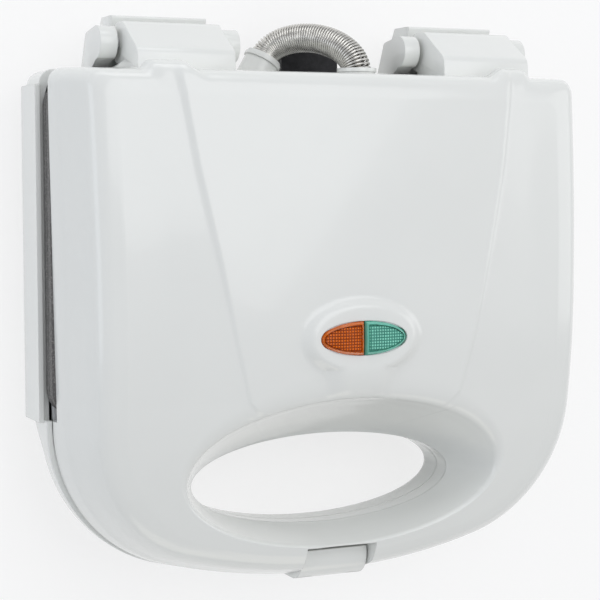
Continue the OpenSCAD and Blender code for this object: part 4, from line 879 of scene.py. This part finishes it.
def coil():
    path = conduit_path(240)
    run = np.concatenate([[0], np.cumsum(np.linalg.norm(np.diff(path, axis=0), axis=1))])
    steps = int(run[-1] / WIRE_PITCH * 26)
    t = np.linspace(0, run[-1], steps)
    centre = np.stack([np.interp(t, run, path[:, k]) for k in range(3)], 1)
    tan = np.gradient(centre, axis=0)
    for _ in range(3):
        tan[1:-1] = (tan[:-2] + tan[1:-1] + tan[2:]) / 3
    tan /= np.linalg.norm(tan, axis=1)[:, None]
    u = np.cross([0, 0, 1.0], tan)
    u /= np.linalg.norm(u, axis=1)[:, None]
    w = np.cross(tan, u)
    ang = 2 * np.pi * t / WIRE_PITCH
    out = np.cos(ang)[:, None] * u + np.sin(ang)[:, None] * w
    line = centre + (COIL_R - WIRE_R) * out
    along = np.gradient(line, axis=0)
    along /= np.linalg.norm(along, axis=1)[:, None]
    side = np.cross(along, out)
    ring = np.linspace(0, 2 * np.pi, 8, endpoint=False)
    verts = (
        line[:, None, :] + WIRE_R * (np.cos(ring)[None, :, None] * out[:, None, :]
                                     + 1.04 * np.sin(ring)[None, :, None] * side[:, None, :])
    ).reshape(-1, 3)
    faces = grid_faces(steps, 8, flip=True)
    faces += [list(range(8)), list(range((steps - 1) * 8, steps * 8))[::-1]]
    return make("conduit_coil", verts, faces, 80)


winding = coil()
winding.data.materials.append(STEEL)
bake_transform(winding)
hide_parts("wire_conduit")


def conduit_lead(number, turn):
    """One of the three leads inside the conduit, following its arc."""
    path = conduit_path(90)
    ends = path[0] + 6.3 * np.array([way.x, way.y, 0]), path[-1] - [0, 5.0, 0]
    path = np.concatenate([[ends[0]], path, [ends[1]]])
    tan = np.gradient(path, axis=0)
    u = np.cross([0, 0, 1.0], tan)
    u /= np.linalg.norm(u, axis=1)[:, None]
    w = np.cross(tan, u)
    w /= np.linalg.norm(w, axis=1)[:, None]
    line = path + LEAD_OFF * (math.cos(turn) * u + math.sin(turn) * w)
    lead = tube(line, LEAD_R, 10, f"conduit_lead_{number}")
    lead.data.materials.append(SLEEVE)
    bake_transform(lead)
    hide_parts("conduit_leads")


for number, degrees in enumerate((90, 210, 330)):
    conduit_lead(number + 1, math.radians(degrees))


# ---------- stage, light ----------
def plain_floor():
    obj = cuboid(-3000, 3000, -3000, 3000, -12, 0, "floor")
    mat = bpy.data.materials.new("floor")
    mat.use_nodes = True
    nodes, links = mat.node_tree.nodes, mat.node_tree.links
    nodes.clear()
    out = nodes.new("ShaderNodeOutputMaterial")
    diffuse = nodes.new("ShaderNodeBsdfDiffuse")
    diffuse.inputs["Color"].default_value = (0.92, 0.92, 0.92, 1)
    glow = nodes.new("ShaderNodeEmission")
    glow.inputs["Color"].default_value = (1, 1, 1, 1)
    path = nodes.new("ShaderNodeLightPath")
    seen = nodes.new("ShaderNodeMath")
    seen.operation = "MAXIMUM"
    links.new(path.outputs["Is Camera Ray"], seen.inputs[0])
    links.new(path.outputs["Is Transmission Ray"], seen.inputs[1])
    seen2 = nodes.new("ShaderNodeMath")
    seen2.operation = "MAXIMUM"
    links.new(seen.outputs[0], seen2.inputs[0])
    links.new(path.outputs["Is Glossy Ray"], seen2.inputs[1])
    part = nodes.new("ShaderNodeMath")
    part.operation = "MULTIPLY"
    part.inputs[1].default_value = 0.72
    links.new(seen2.outputs[0], part.inputs[0])
    mix = nodes.new("ShaderNodeMixShader")
    links.new(part.outputs[0], mix.inputs["Fac"])
    links.new(diffuse.outputs[0], mix.inputs[1])
    links.new(glow.outputs[0], mix.inputs[2])
    links.new(mix.outputs[0], out.inputs["Surface"])
    obj.data.materials.append(mat)


plain_floor()
world = bpy.data.worlds.new("World")
bpy.context.scene.world = world
world.use_nodes = True
wn, wl = world.node_tree.nodes, world.node_tree.links
wn.clear()
w_out = wn.new("ShaderNodeOutputWorld")
sky = wn.new("ShaderNodeBackground")
sky.inputs["Color"].default_value = (0.93, 0.95, 1.0, 1)
sky.inputs["Strength"].default_value = 0.52
plain = wn.new("ShaderNodeBackground")
plain.inputs["Color"].default_value = (1, 1, 1, 1)
plain.inputs["Strength"].default_value = 1.0
w_path = wn.new("ShaderNodeLightPath")
w_mix = wn.new("ShaderNodeMixShader")
wl.new(w_path.outputs["Is Camera Ray"], w_mix.inputs["Fac"])
wl.new(sky.outputs[0], w_mix.inputs[1])
wl.new(plain.outputs[0], w_mix.inputs[2])
wl.new(w_mix.outputs[0], w_out.inputs["Surface"])


def lamp(name, where, target, size, power, color=(1, 1, 1), size_y=None):
    data = bpy.data.lights.new(name, "AREA")
    data.shape = "RECTANGLE"
    data.size, data.size_y = size, size_y or size
    data.energy, data.color = power, color
    obj = bpy.data.objects.new(name, data)
    bpy.context.scene.collection.objects.link(obj)
    obj.location = where
    obj.rotation_euler = (Vector(target) - Vector(where)).to_track_quat("-Z", "Y").to_euler()


lamp("key", (0.25, 0.5, 1.4), (0, 0.0, 0.05), 1.0, 5.6, (1, 1, 1))
lamp("rear", (-0.1, 1.3, 0.6), (0, 0.05, 0.05), 1.0, 3.4, (1, 1, 1), 0.5)
lamp("left", (-1.3, 0.1, 0.5), (0, 0, 0.05), 0.8, 3.0, (0.88, 0.93, 1.0))
lamp("right", (1.3, 0.2, 0.7), (0, 0, 0.05), 0.8, 2.7, (1, 1, 1))
lamp("front", (0.1, -1.3, 0.45), (0, 0, 0.05), 1.0, 2.0, (1.0, 0.96, 0.82), 0.5)

view = bpy.context.scene.view_settings
view.view_transform = "Standard"
